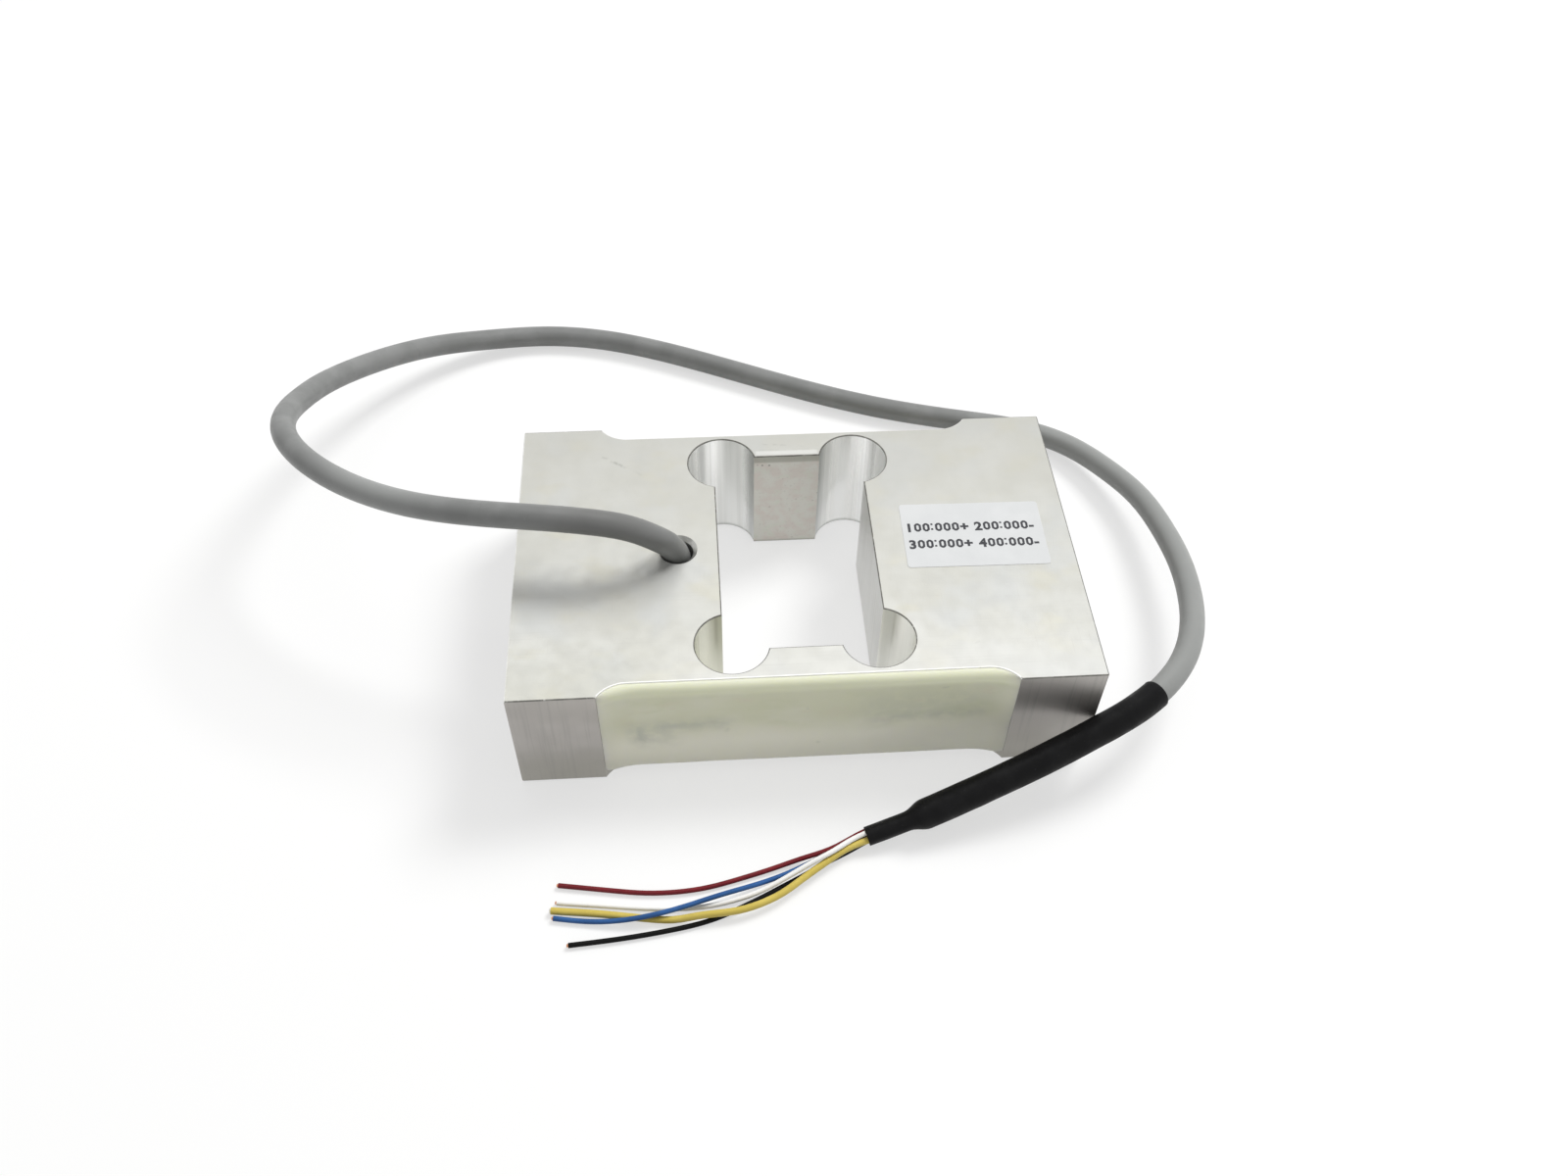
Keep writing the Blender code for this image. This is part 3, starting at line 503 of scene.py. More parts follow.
def flat_aluminium():
    """The flats of the opening: dull and warm, finely pitted, darker along the top edge, with painted shade
    along the bottom.
    """
    finish = Finish("flat_aluminium", (0.76, 0.750, 0.700), 0.55, 0.6)
    finish.mottle(0.0035, 0.40, 0.64, (0.730, 0.675, 0.630), 0.8, detail=4)
    finish.mottle(0.0030, 0.52, 0.70, (0.73, 0.745, 0.67), 0.7, detail=4, seed=11)
    finish.mottle(0.0009, 0.58, 0.72, (0.62, 0.60, 0.55), 0.5, seed=14)
    finish.tint(finish.range(finish.z, HEIGHT - 0.0030, HEIGHT - 0.0020), (0.36, 0.36, 0.31), 0.65)
    # Painted shade: darker along the bottom, where the flats meet the floor.
    finish.tint(finish.range(finish.z, 0.0012, 0.0002), (0.36, 0.36, 0.32), 0.5)
    pits = finish.calc("MAXIMUM", finish.specks(0.0032, 0.10, seed=1), finish.specks(0.0047, 0.08, seed=5))
    finish.tint(pits, (0.30, 0.29, 0.26), 0.35)
    for place in FLAT_DENTS:
        finish.tint(finish.patch(AHEAD, place, (0.00022, 0.00018), 0.0002), (0.10, 0.09, 0.08))
    finish.grain(0.0009, 0.00003, 0.6, detail=5)
    return finish.material


def wall_aluminium():
    """The opening's end walls: a fine end-milled finish, with painted light that makes them paler towards
    the bottom.
    """
    finish = Finish("wall_aluminium", (0.675, 0.675, 0.650), 0.40, 0.75)
    finish.mottle(0.010, 0.40, 0.64, (0.70, 0.70, 0.68), stretch=(1, 1, 2))
    # Painted light: paler towards the bottom.
    finish.tint(finish.range(finish.z, 0.022, 0.004, 0, 0.7), (0.80, 0.80, 0.775))
    steps = finish.noise(0.0007, (1, 1, 60), detail=2)
    finish.tint(finish.range(steps, 0.56, 0.72, 0, 0.3), (0.54, 0.54, 0.52))
    finish.set("Roughness", finish.range(steps, 0.3, 0.7, 0.32, 0.46))
    finish.bump(steps, 0.00003, 0.4)
    return finish.material


def drilled_aluminium():
    """Bores and threads."""
    finish = Finish("drilled_aluminium", (0.56, 0.56, 0.53), 0.32, 0.9)
    finish.mottle(0.0012, 0.4, 0.65, (0.64, 0.64, 0.61))
    finish.grain(0.0004, 0.000015, seed=4)
    return finish.material


def edge_aluminium():
    """Broken edges, filed by hand, painted much darker than the faces: painted shade that draws dark lines
    along them.
    """
    # Painted shade: the dark base colour.
    finish = Finish("edge_aluminium", (0.150, 0.148, 0.135), 0.34, 0.9)
    finish.mottle(0.003, 0.45, 0.65, (0.25, 0.248, 0.225), 0.7, detail=4)
    finish.mottle(0.0012, 0.60, 0.74, (0.60, 0.60, 0.57), 0.6, seed=8)
    finish.grain(0.0008, 0.00002, detail=3, seed=3)
    return finish.material


def bright_aluminium():
    """The edges beside the coats and at the lead's end, made bright with a painted highlight."""
    # A painted highlight: the pale base colour.
    finish = Finish("bright_aluminium", (0.80, 0.80, 0.77), 0.30, 0.9)
    finish.mottle(0.004, 0.45, 0.65, (0.87, 0.87, 0.85), 0.7)
    finish.mottle(0.0014, 0.62, 0.74, (0.55, 0.55, 0.52), 0.5, seed=8)
    finish.grain(0.0008, 0.00001, 0.4, detail=3, seed=3)
    return finish.material


def silicone(place):
    """Milky silicone, greyer where the board, gauges and wiring lie close under it, with a painted
    highlight along the top and painted shade over the whole rear coat.
    """
    # Painted shade: the rear coat's colours are darkened.
    def shade(*colour):
        return tuple(COAT_PAINTED_SHADE[place] * value for value in colour)

    finish = Finish(
        f"{place}_silicone", shade(0.705, 0.715, 0.535), 0.34,
        Subsurface_Weight=0.35, Subsurface_Radius=(0.0016, 0.0017, 0.0010), Subsurface_Scale=1.0,
        Specular_IOR_Level=0.45,
    )
    finish.mottle(0.011, 0.40, 0.64, shade(0.75, 0.755, 0.60), 0.8, stretch=(1.6, 1, 1))
    finish.mottle(0.007, 0.54, 0.70, shade(0.65, 0.675, 0.475), 0.6, stretch=(2, 1, 1), seed=6)
    finish.mottle(0.005, 0.58, 0.74, shade(0.72, 0.68, 0.53), 0.5, stretch=(2, 1, 1), seed=9)
    finish.tint(finish.range(finish.z, 0.023, 0.011), shade(0.955, 0.945, 0.805), 0.90)
    # A painted highlight along the rounded top.
    top = finish.range(finish.z, HEIGHT - 0.0042, HEIGHT - 0.0022)
    finish.tint(top, shade(0.86, 0.88, 0.66), 0.7)
    ends = finish.range(finish.calc("ABSOLUTE", finish.x), COAT_REACH - 0.0055, COAT_REACH - 0.0012)
    finish.tint(ends, shade(0.80, 0.80, 0.66), 0.45)
    uneven = finish.range(finish.noise(0.0035, seed=17), 0.30, 0.60, 0.35, 1.0)
    for centre, half, soft, turn, depth in COAT_SHADOWS:
        shadow = finish.patch(AHEAD, centre, half, soft, turn)
        finish.tint(finish.both(shadow, uneven), shade(0.42, 0.45, 0.40), depth)
    finish.roughen(0.006, 0.28, 0.42, 0.35, 0.65, seed=2)
    finish.grain(0.005, 0.00022, stretch=(1.5, 1, 1))
    finish.grain(0.0006, 0.000012, seed=7)
    return finish.material


def grey_jacket():
    """Satin PVC with fine grain and darker and paler rubs, with painted light along its run: paler on the
    right of the loop and at the left bend, painted shade over the body.
    """
    finish = Finish("grey_jacket", (0.165, 0.169, 0.165), 0.38, Specular_IOR_Level=0.6)
    finish.mottle(0.010, 0.42, 0.66, (0.195, 0.199, 0.195), detail=4)
    finish.mottle(0.0022, 0.62, 0.75, (0.14, 0.138, 0.135), 0.4, seed=4)
    finish.mottle(0.0008, 0.70, 0.80, (0.26, 0.26, 0.25), 0.5, detail=2, seed=8)
    # Painted light: paler on the right of the loop.
    finish.tint(finish.range(finish.x, 0.050, 0.100), (0.270, 0.277, 0.268), 0.75)
    # A painted highlight at the left bend.
    left_bend = finish.patch(ABOVE, (-0.110, 0.012), (0.014, 0.014), 0.012)
    finish.tint(left_bend, (0.262, 0.268, 0.262), 0.85)
    # Painted shade where the jacket runs over the body.
    over_body = finish.patch(ABOVE, (-0.050, -0.005), (0.013, 0.010), 0.010)
    finish.tint(over_body, (0.120, 0.120, 0.115), 0.7)
    finish.roughen(0.004, 0.34, 0.48, seed=2)
    finish.grain(0.0030, 0.00012, 0.45)
    finish.grain(0.00035, 0.000014, 0.6, seed=5)
    return finish.material


def black_sleeve():
    """Heat-shrink tubing: dull black, finely grained, with pale dust in the grain."""
    finish = Finish("black_sleeve", (0.0040, 0.0040, 0.0043), 0.46, Specular_IOR_Level=0.12)
    finish.mottle(0.006, 0.45, 0.68, (0.0070, 0.0070, 0.0074), detail=4)
    finish.mottle(0.0007, 0.66, 0.78, (0.040, 0.040, 0.040), 0.4, seed=3)
    finish.roughen(0.003, 0.38, 0.56, seed=2)
    finish.grain(0.0022, 0.00014)
    finish.grain(0.00032, 0.000030, 0.8, seed=6)
    return finish.material


def insulation(name, colour, lighter, sheen=0.25):
    """Wire insulation: extruded plastic with slight changes of shade and a low sheen."""
    finish = Finish(name, colour, 0.34, Specular_IOR_Level=sheen)
    finish.mottle(0.008, 0.42, 0.66, lighter)
    finish.roughen(0.002, 0.28, 0.44, seed=3)
    finish.grain(0.0012, 0.00004)
    finish.grain(0.00022, 0.000008, seed=5)
    return finish.material


def metal(name, colour, other, roughness):
    finish = Finish(name, colour, roughness, 1.0)
    finish.mottle(0.0012, 0.42, 0.62, other)
    finish.grain(0.0003, 0.00001, 0.6, seed=4)
    return finish.material


def matte(name, colour, other, roughness):
    finish = Finish(name, colour, roughness)
    finish.mottle(0.0015, 0.42, 0.64, other)
    finish.grain(0.0004, 0.000015, 0.6, seed=3)
    return finish.material


def label_film():
    """White vinyl with a slight gloss and a faint orange-peel surface."""
    finish = Finish("label_film", (0.582, 0.592, 0.594), 0.34, Specular_IOR_Level=0.45)
    finish.mottle(0.009, 0.40, 0.66, (0.606, 0.615, 0.617))
    finish.roughen(0.003, 0.28, 0.42, seed=2)
    finish.grain(0.0010, 0.000012)
    return finish.material


def label_ink():
    finish = Finish("label_ink", (0.020, 0.021, 0.026), 0.45)
    finish.mottle(0.0005, 0.55, 0.75, (0.06, 0.062, 0.07), 0.5, detail=2)
    finish.grain(0.0002, 0.000004)
    return finish.material


def circuit_board():
    """Green solder mask with paler traces and small bright pads."""
    finish = Finish("circuit_board", (0.020, 0.15, 0.075), 0.38, Specular_IOR_Level=0.5)
    finish.mottle(0.0016, 0.52, 0.56, (0.05, 0.27, 0.13), 0.7, stretch=(3, 1, 1), detail=1)
    finish.tint(finish.specks(0.0022, 0.22), (0.62, 0.58, 0.46))
    finish.grain(0.0006, 0.00002)
    return finish.material


def gauge_foil(place):
    """An amber carrier film, with the raised foil of the grid and its tabs in pale metal."""
    finish = Finish(f"{place}_gauge_foil", (0.52, 0.27, 0.06), 0.35)
    finish.mottle(0.0015, 0.4, 0.65, (0.62, 0.35, 0.10))
    film = WAIST_Y + GAP + GAUGE_FILM
    foil = finish.range(finish.calc("ABSOLUTE", finish.y), film, film + FOIL_EDGE)
    finish.tint(foil, (0.66, 0.62, 0.55))
    finish.set("Metallic", foil)
    finish.grain(0.0004, 0.00001)
    return finish.material


def add_object(name, data):
    obj = bpy.data.objects.new(name, data)
    bpy.context.scene.collection.objects.link(obj)
    return obj


def piece(name, mesh, finishes, replaced=()):
    """Links a mesh or curve as a piece that rides with the part and stands for the nodes named."""
    obj = add_object(name, mesh)
    for finish in finishes:
        mesh.materials.append(finish)
    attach(obj, "root")
    if replaced:
        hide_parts(*replaced)
    return obj


def mesh_of(name, bm):
    bmesh.ops.recalc_face_normals(bm, faces=bm.faces)
    mesh = bpy.data.meshes.new(name)
    bm.to_mesh(mesh)
    bm.free()
    return mesh


def skin(bm, rings, closed=False):
    """Skins rings of equal count. The ends are capped, or joined to each other where closed."""
    rows = [[bm.verts.new(point) for point in ring] for ring in rings]
    pairs = list(zip(rows, rows[1:]))
    if closed:
        pairs.append((rows[-1], rows[0]))
    for low, high in pairs:
        count = len(low)
        for i in range(count):
            j = (i + 1) % count
            bm.faces.new((low[i], low[j], high[j], high[i]))
    if not closed:
        bm.faces.new(rows[0])
        bm.faces.new(rows[-1])


def loft(name, rings, closed=False):
    bm = bmesh.new()
    skin(bm, rings, closed)
    return mesh_of(name, bm)


def smooth(mesh, angle):
    mesh.shade_smooth()
    mesh.set_sharp_from_angle(angle=angle)


def carve(name, solid, tools):
    """The solid with each tool cut out of it, as one mesh."""
    helpers = [add_object(mesh.name, mesh) for mesh in [solid, *tools]]
    for tool in helpers[1:]:
        cut = helpers[0].modifiers.new(tool.name, "BOOLEAN")
        cut.operation = "DIFFERENCE"
        cut.solver = "EXACT"
        cut.object = tool
    bpy.context.view_layer.update()
    graph = bpy.context.evaluated_depsgraph_get()
    carved = bpy.data.meshes.new_from_object(helpers[0].evaluated_get(graph))
    carved.name = name
    for helper in helpers:
        bpy.data.objects.remove(helper)
    return carved


def arc(centre, radius, start, end, count):
    angles = [start + (end - start) * i / count for i in range(count + 1)]
    return [(centre[0] + radius * math.cos(a), centre[1] + radius * math.sin(a)) for a in angles]


def four_ways(quarter):
    """Mirrors a quarter outline, which runs from +X to +Y, about both axes."""
    second = [(-x, y) for x, y in reversed(quarter)]
    return quarter + second + [(-x, -y) for x, y in quarter + second]


def body_outline(inset):
    """The body seen from above: four corner pads and two waists, drawn in by the inset."""
    middle = (LENGTH / 2 - CORNER_RADIUS, WIDTH / 2 - CORNER_RADIUS)
    corner = arc(middle, CORNER_RADIUS - inset, 0, math.pi / 2, CORNER_STEPS)
    centre_y = WAIST_Y + WAIST_RADIUS
    radius = WAIST_RADIUS + inset
    rise = math.acos((centre_y - WIDTH / 2 + inset) / radius)
    floor = arc((WAIST_ARC_X, centre_y), radius, rise - math.pi / 2, -math.pi / 2, WAIST_STEPS)
    return four_ways(corner + floor)


def opening_outline(grow):
    """The through opening seen from above, widened by the amount given."""
    radius = LOBE_RADIUS + grow
    wall, flat = OPENING_WIDTH / 2 + grow, FLAT_Y + grow
    start = -math.acos((wall - LOBE_X) / radius)
    end = math.pi - math.asin((flat - LOBE_Y) / radius)
    return four_ways(arc((LOBE_X, LOBE_Y), radius, start, end, LOBE_STEPS))


def rounded_edge():
    """Heights above a face and insets from a wall, round a broken edge between the two."""
    turns = [math.pi / 2 * i / EDGE_STEPS for i in range(EDGE_STEPS + 1)]
    return [(EDGE_BREAK * (1 - math.cos(a)), EDGE_BREAK * (1 - math.sin(a))) for a in turns]


def levels(outline, steps):
    return [[(x, y, z) for x, y in outline(size)] for z, size in steps]


def around(direction):
    """The direction with length 1, and two more that are square to it and to each other."""
    axis = Vector(direction).normalized()
    side = axis.orthogonal().normalized()
    return axis, side, axis.cross(side)


def full_turn(count):
    return [2 * math.pi * i / count for i in range(count)]


def add_turned(bm, start, direction, steps, sides=HOLE_STEPS):
    """Adds a turned solid: each step is a distance along the direction and a radius there."""
    axis, side, other = around(direction)
    turns = full_turn(sides)
    skin(bm, [
        [Vector(start) + axis * along + radius * (side * math.cos(a) + other * math.sin(a)) for a in turns]
        for along, radius in steps
    ])


def hole_steps(radius, depth, edge):
    """A blind hole's steps: past its mouth, its countersink, its wall and its blunted drill point."""
    wide = radius + edge
    tip = depth + (1 - DRILL_TIP) * (radius / math.tan(DRILL_POINT / 2))
    return [(-OVERRUN / 2, wide), (0, wide), (edge, radius), (depth, radius), (tip, DRILL_TIP * radius)]


def add_thread(bm, mouth, direction):
    """Adds a closed helical cutter that leaves a thread in the wall of a hole."""
    axis, side, other = around(direction)
    inside = END_HOLE_RADIUS - THREAD_OVERLAP

    def on_axis(along):
        return Vector(mouth) + axis * (THREAD_START + along * THREAD_PITCH)

    rows = []
    for turn in range(THREAD_TURNS):
        for share, height in THREAD_PROFILE:
            row = []
            for i, angle in enumerate(full_turn(THREAD_STEPS)):
                along = turn + share + i / THREAD_STEPS
                fade = min(along / THREAD_RUN_IN, (THREAD_TURNS + 1 - along) / THREAD_RUN_OUT, 1)
                radius = inside + (THREAD_ROOT - inside) * height * fade
                turned = side * math.cos(angle) + other * math.sin(angle)
                row.append(bm.verts.new(on_axis(along) + radius * turned))
            rows.append(row)
    seam, last = THREAD_STEPS - 1, len(rows) - 1
    step = len(THREAD_PROFILE)
    for i in range(THREAD_STEPS):
        following = (i + 1) % THREAD_STEPS
        ahead = step if i == seam else 0
        for j in range(last - ahead):
            bm.faces.new((
                rows[j][i], rows[j + ahead][following], rows[j + ahead + 1][following], rows[j + 1][i],
            ))
    low = rows[0] + [rows[j][0] for j in range(step, 0, -1)]
    high = rows[last] + [rows[j][seam] for j in range(last - 1, last - 1 - step, -1)]
    for loop, along in ((low, 0.5), (high, THREAD_TURNS + 0.5)):
        middle = bm.verts.new(on_axis(along))
        for first, second in zip(loop, loop[1:] + loop[:1]):
            bm.faces.new((first, second, middle))


def end_holes():
    """The mouth and direction of each threaded hole."""
    for end in (-1, 1):
        for row in (-1, 1):
            for column in (-1, 1):
                y = row * (WIDTH / 2 - END_HOLE_MARGIN_Y)
                z = MID_HEIGHT + column * (HEIGHT / 2 - END_HOLE_MARGIN_Z)
                yield (end * LENGTH / 2, y, z), (-end, 0, 0)


BODY_FINISHES = ("milled", "side", "bored", "flat", "wall", "drilled", "edge", "bright")


def body_surface(centre, normal):
    """The finish of a face of the body, from where it lies and which way it looks."""
    x, y = abs(centre.x), abs(centre.y)
    depth = min(centre.z, HEIGHT - centre.z)
    tiny = 0.00001
    square_on = 0.99
    if depth < tiny:
        return "milled"
    from_bore = math.hypot(centre.x - BORE_X, centre.y)
    from_passage = math.hypot(centre.x - BORE_X, centre.z - MID_HEIGHT)
    in_passage = from_passage < PASSAGE_RADIUS + EDGE_BREAK and y < WAIST_Y - tiny
    if from_bore < BORE_RADIUS + BORE_COUNTERSINK or in_passage:
        return "drilled"
    if x > LENGTH / 2 - tiny or y > WAIST_Y - tiny and depth > EDGE_BREAK and abs(normal.x) < square_on:
        return "side"
    if depth < EDGE_BREAK:
        # These edges get the painted highlight.
        highlighted = y > WAIST_Y - 2 * EDGE_BREAK and x < PAD_X or centre.x < EDGE_BREAK - LENGTH / 2
        return "bright" if highlighted else "edge"
    if x > LENGTH / 2 - END_HOLE_DEPTH - END_HOLE_RADIUS:
        return "edge" if x > LENGTH / 2 - COUNTERSINK and y < WIDTH / 2 - CORNER_RADIUS else "drilled"
    if abs(x - OPENING_WIDTH / 2) < tiny:
        return "wall"
    if abs(y - FLAT_Y) < tiny:
        return "flat"
    return "bored"


def make_body(finishes):
    """The machined body with round broken edges, fine lobes and threads in its end holes."""
    edge = rounded_edge()
    walls = edge + [(HEIGHT - z, inset) for z, inset in reversed(edge)]
    block = loft("body_block", levels(body_outline, walls))
    past = [(-OVERRUN, EDGE_BREAK), *walls, (HEIGHT + OVERRUN, EDGE_BREAK)]
    opening = loft("cut_opening", levels(opening_outline, past))
    bore, passage, holes, threads = (bmesh.new() for _ in range(4))
    bore_steps = hole_steps(BORE_RADIUS, BORE_DEPTH, BORE_COUNTERSINK)
    add_turned(bore, (BORE_X, 0, HEIGHT), (0, 0, -1), bore_steps)
    mouth = PASSAGE_RADIUS + EDGE_BREAK
    passage_steps = [
        (-OVERRUN, mouth), (0, mouth), (EDGE_BREAK, PASSAGE_RADIUS),
        (2 * WAIST_Y - EDGE_BREAK, PASSAGE_RADIUS), (2 * WAIST_Y, mouth), (2 * WAIST_Y + OVERRUN, mouth),
    ]
    add_turned(passage, (BORE_X, -WAIST_Y, MID_HEIGHT), (0, 1, 0), passage_steps)
    end_steps = hole_steps(END_HOLE_RADIUS, END_HOLE_DEPTH, COUNTERSINK)
    for place, direction in end_holes():
        add_turned(holes, place, direction, end_steps)
        add_thread(threads, place, direction)
    tools = [opening, mesh_of("cut_bore", bore), mesh_of("cut_passage", passage)]
    tools += [mesh_of("cut_holes", holes), mesh_of("cut_threads", threads)]
    mesh = carve("body_surface", block, tools)
    smooth(mesh, BODY_SMOOTH_ANGLE)
    mesh.materials.clear()
    for polygon in mesh.polygons:
        kind = body_surface(polygon.center, polygon.normal)
        polygon.material_index = BODY_FINISHES.index(kind)
        if kind in ("milled", "flat", "wall"):
            polygon.use_smooth = False
    in_order = [finishes[kind] for kind in BODY_FINISHES]
    piece("body", mesh, in_order, ["machined_body"])


def coat_ring(x, side):
    """One section across a silicone coat: straight against the floor, rounded and uneven outside."""
    past_floor = max(abs(x) - WAIST_ARC_X, 0)
    inner_radius = WAIST_RADIUS - COAT_BED
    inner = WAIST_RADIUS - math.sqrt(inner_radius**2 - past_floor**2)
    rounding = COAT_ROUNDING[side]
    blend_start = WAIST_ARC_X - rounding
    share = max(abs(x) - blend_start, 0) / (COAT_REACH - blend_start)
    end_floor = WAIST_RADIUS - math.sqrt(inner_radius**2 - (COAT_REACH - WAIST_ARC_X) ** 2)
    outer = COAT_THICKNESS + (end_floor + COAT_END_THICKNESS - COAT_THICKNESS) * share**2
    corner = max(abs(x) - (COAT_REACH - COAT_CORNER_RADIUS), 0)
    lift = COAT_CORNER_RADIUS - math.sqrt(max(COAT_CORNER_RADIUS**2 - corner**2, 0))
    low, high = COAT_LOW.z + lift, COAT_HIGH.z - COAT_DROP[side]
    turns = [math.pi / 2 * i / COAT_ROUND_STEPS for i in range(1, COAT_ROUND_STEPS + 1)]
    round_over = [(math.sin(a), rounding * (1 - math.cos(a))) for a in turns]
    flat = high - low - 2 * rounding
    outside = [(height, high - drop) for height, drop in round_over]
    outside += [(1.0, high - rounding - flat * i / COAT_FLAT_STEPS) for i in range(1, COAT_FLAT_STEPS)]
    outside += [(height, low + drop) for height, drop in reversed(round_over)]
    points = [(x, side * (WAIST_Y + inner), low), (x, side * (WAIST_Y + inner), high)]
    fade = min((COAT_REACH - abs(x)) / COAT_WAVE_FADE, 1)
    for height, z in outside:
        wave = sum(
            share * noise.noise(Vector((x / length, side * seed, z / rise)))
            for length, rise, seed, share in COAT_WAVES
        )
        depth = inner + (outer - inner + COAT_WAVE * wave * fade) * height
        points.append((x, side * (WAIST_Y + depth), z))
    return points


def slab(name, low, high):
    """A closed box between two opposite corners."""
    ring = [(low.x, low.z), (high.x, low.z), (high.x, high.z), (low.x, high.z)]
    return loft(name, [[(x, y, z) for x, z in ring] for y in (low.y, high.y)])


def make_coat(place, side, finish):
    """A silicone coat, hollowed out over everything that lies on the waist floor."""
    shares = [i / COAT_STATIONS for i in range(-COAT_STATIONS, COAT_STATIONS + 1)]
    solid = loft(f"{place}_pour", [coat_ring(COAT_REACH * math.sin(math.pi / 2 * s), side) for s in shares])
    grow = Vector([BED_GAP] * 3)
    tools = []
    for name in sorted(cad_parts):
        if name.startswith(f"{place}_") and "coat" not in name and "core" not in name:
            low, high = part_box(name)
            tools.append(slab(f"around_{name}", low - grow, high + grow))
    sunk, raised = CORE_BED_DEPTHS
    tools.append(slab(
        f"{place}_core_bed",
        Vector((BORE_X - CORE_BED_LEFT, side * (WAIST_Y + sunk), MID_HEIGHT - CORE_BED_HALF_HEIGHT)),
        Vector((BORE_X + CORE_BED_RIGHT, side * (WAIST_Y + raised), MID_HEIGHT + CORE_BED_HALF_HEIGHT)),
    ))
    mesh = carve(f"{place}_coat", solid, tools)
    smooth(mesh, SMOOTH_ANGLE)
    mesh.materials.clear()
    piece(f"{place}_coat", mesh, [finish], [f"{place}_silicone_coat"])


def lengths_between(points):
    return np.linalg.norm(np.diff(points, axis=0), axis=1)


def smooth_curve(route, step):
    """A natural cubic spline through the route's points, read at even steps along it."""
    knots = np.array(route, float)
    gaps = lengths_between(knots)
    count = len(knots)
    system, right = np.eye(count), np.zeros((count, 3))
    for i in range(1, count - 1):
        system[i, i - 1:i + 2] = gaps[i - 1], 2 * (gaps[i - 1] + gaps[i]), gaps[i]
        right[i] = 6 * ((knots[i + 1] - knots[i]) / gaps[i] - (knots[i] - knots[i - 1]) / gaps[i - 1])
    bends = np.linalg.solve(system, right)
    fine = []
    for i, gap in enumerate(gaps):
        for b in np.arange(SPLINE_STEPS) / SPLINE_STEPS:
            a = 1 - b
            curve = (a**3 - a) * bends[i] + (b**3 - b) * bends[i + 1]
            fine.append(a * knots[i] + b * knots[i + 1] + gap**2 / 6 * curve)
    whole = Line(fine + [knots[-1]])
    return whole.between(0, whole.length, step)


class Line:
    """A finely divided line that is read by the distance along it."""

    def __init__(self, points):
        self.points = np.array(points)
        self.along = np.concatenate([[0], np.cumsum(lengths_between(self.points))])
        self.length = float(self.along[-1])

    def at(self, distance):
        return np.array([np.interp(distance, self.along, self.points[:, axis]) for axis in range(3)])

    def between(self, start, end, step):
        count = round((end - start) / step) + 1
        return [self.at(place) for place in np.linspace(start, end, count)]

    def section(self, distance):
        """The centre, a level direction across the line and the one square to both."""
        reach = JACKET_RADIUS
        before = self.at(max(distance - reach, 0))
        after = self.at(min(distance + reach, self.length))
        forward = (after - before) / np.linalg.norm(after - before)
        side = np.cross([0, 0, 1], forward)
        side /= np.linalg.norm(side)
        return self.at(distance), side, np.cross(forward, side)

    def off_centre(self, distance, radius, angle):
        centre, side, up = self.section(distance)
        return centre + radius * (math.cos(angle) * side + math.sin(angle) * up)


def cord_curve(name, points, radius, sides, finish, replaced):
    """A cord as a curve with a round bevel and filled caps."""
    curve = bpy.data.curves.new(name, "CURVE")
    curve.dimensions = "3D"
    curve.bevel_depth = radius
    curve.bevel_resolution = sides // 2 - 2
    curve.use_fill_caps = True
    spline = curve.splines.new("POLY")
    spline.points.add(len(points) - 1)
    for spot, point in zip(spline.points, points):
        spot.co = (*point, 1)
    return piece(name, curve, [finish], replaced)


def sleeve_radius(place, shoulder):
    """The sleeve's bore and outer radius at a place along the lead."""
    wide, narrow = JACKET_RADIUS + SLIP_GAP, BUNDLE_RADIUS + WIRE_GAP
    share = min(max((place - shoulder) / NECK_TAPER, 0), 1)
    bore = wide + (narrow - wide) * (3 * share**2 - 2 * share**3)
    return bore, bore + SLEEVE_WALL, share


def make_sleeve(lead, finish):
    """The heat-shrink sleeve: wide over the jacket, drawn in over the wires, slightly uneven."""
    start, end = lead.length - SLEEVE_LENGTH, lead.length
    shoulder = end - NECK_LENGTH - NECK_TAPER
    turns = full_turn(SLEEVE_SIDES)
    between = np.arange(start + SLEEVE_RING_STEP, end - SLEEVE_RING_MARGIN, SLEEVE_RING_STEP)
    places = [start, start + SLEEVE_LIP / 2, start + SLEEVE_LIP, *between]
    places += [end - SLEEVE_LIP, end - SLEEVE_LIP / 2, end]
    rings = []
    for place in places:
        _, outer, share = sleeve_radius(place, shoulder)
        from_end = min(place - start, end - place)
        rim = SLEEVE_LIP * max(1 - from_end / SLEEVE_LIP, 0) ** 2
        ring = []
        for angle in turns:
            across, up = SLEEVE_WAVE_ROUND * math.cos(angle), SLEEVE_WAVE_ROUND * math.sin(angle)
            spot = Vector((place / SLEEVE_WAVE_LENGTH, across, up))
            uneven = sum(depth * noise.noise(spot * finer) for finer, depth in SLEEVE_WAVES)
            over_wires = (1 + math.cos(NECK_LOBES * angle + NECK_LOBE_TURN)) / 2
            radius = outer - rim + uneven - NECK_LOBE_DEPTH * share * over_wires
            ring.append(lead.off_centre(place, radius, angle))
        rings.append(ring)
    for place in np.linspace(end, start, SLEEVE_BORE_RINGS):
        bore, _, _ = sleeve_radius(place, shoulder)
        rings.append([lead.off_centre(place, bore, angle) for angle in turns])
    mesh = loft("sleeve", rings, closed=True)
    smooth(mesh, SLEEVE_SMOOTH_ANGLE)
    return piece("sleeve", mesh, [finish], ["heat_shrink_sleeve"])


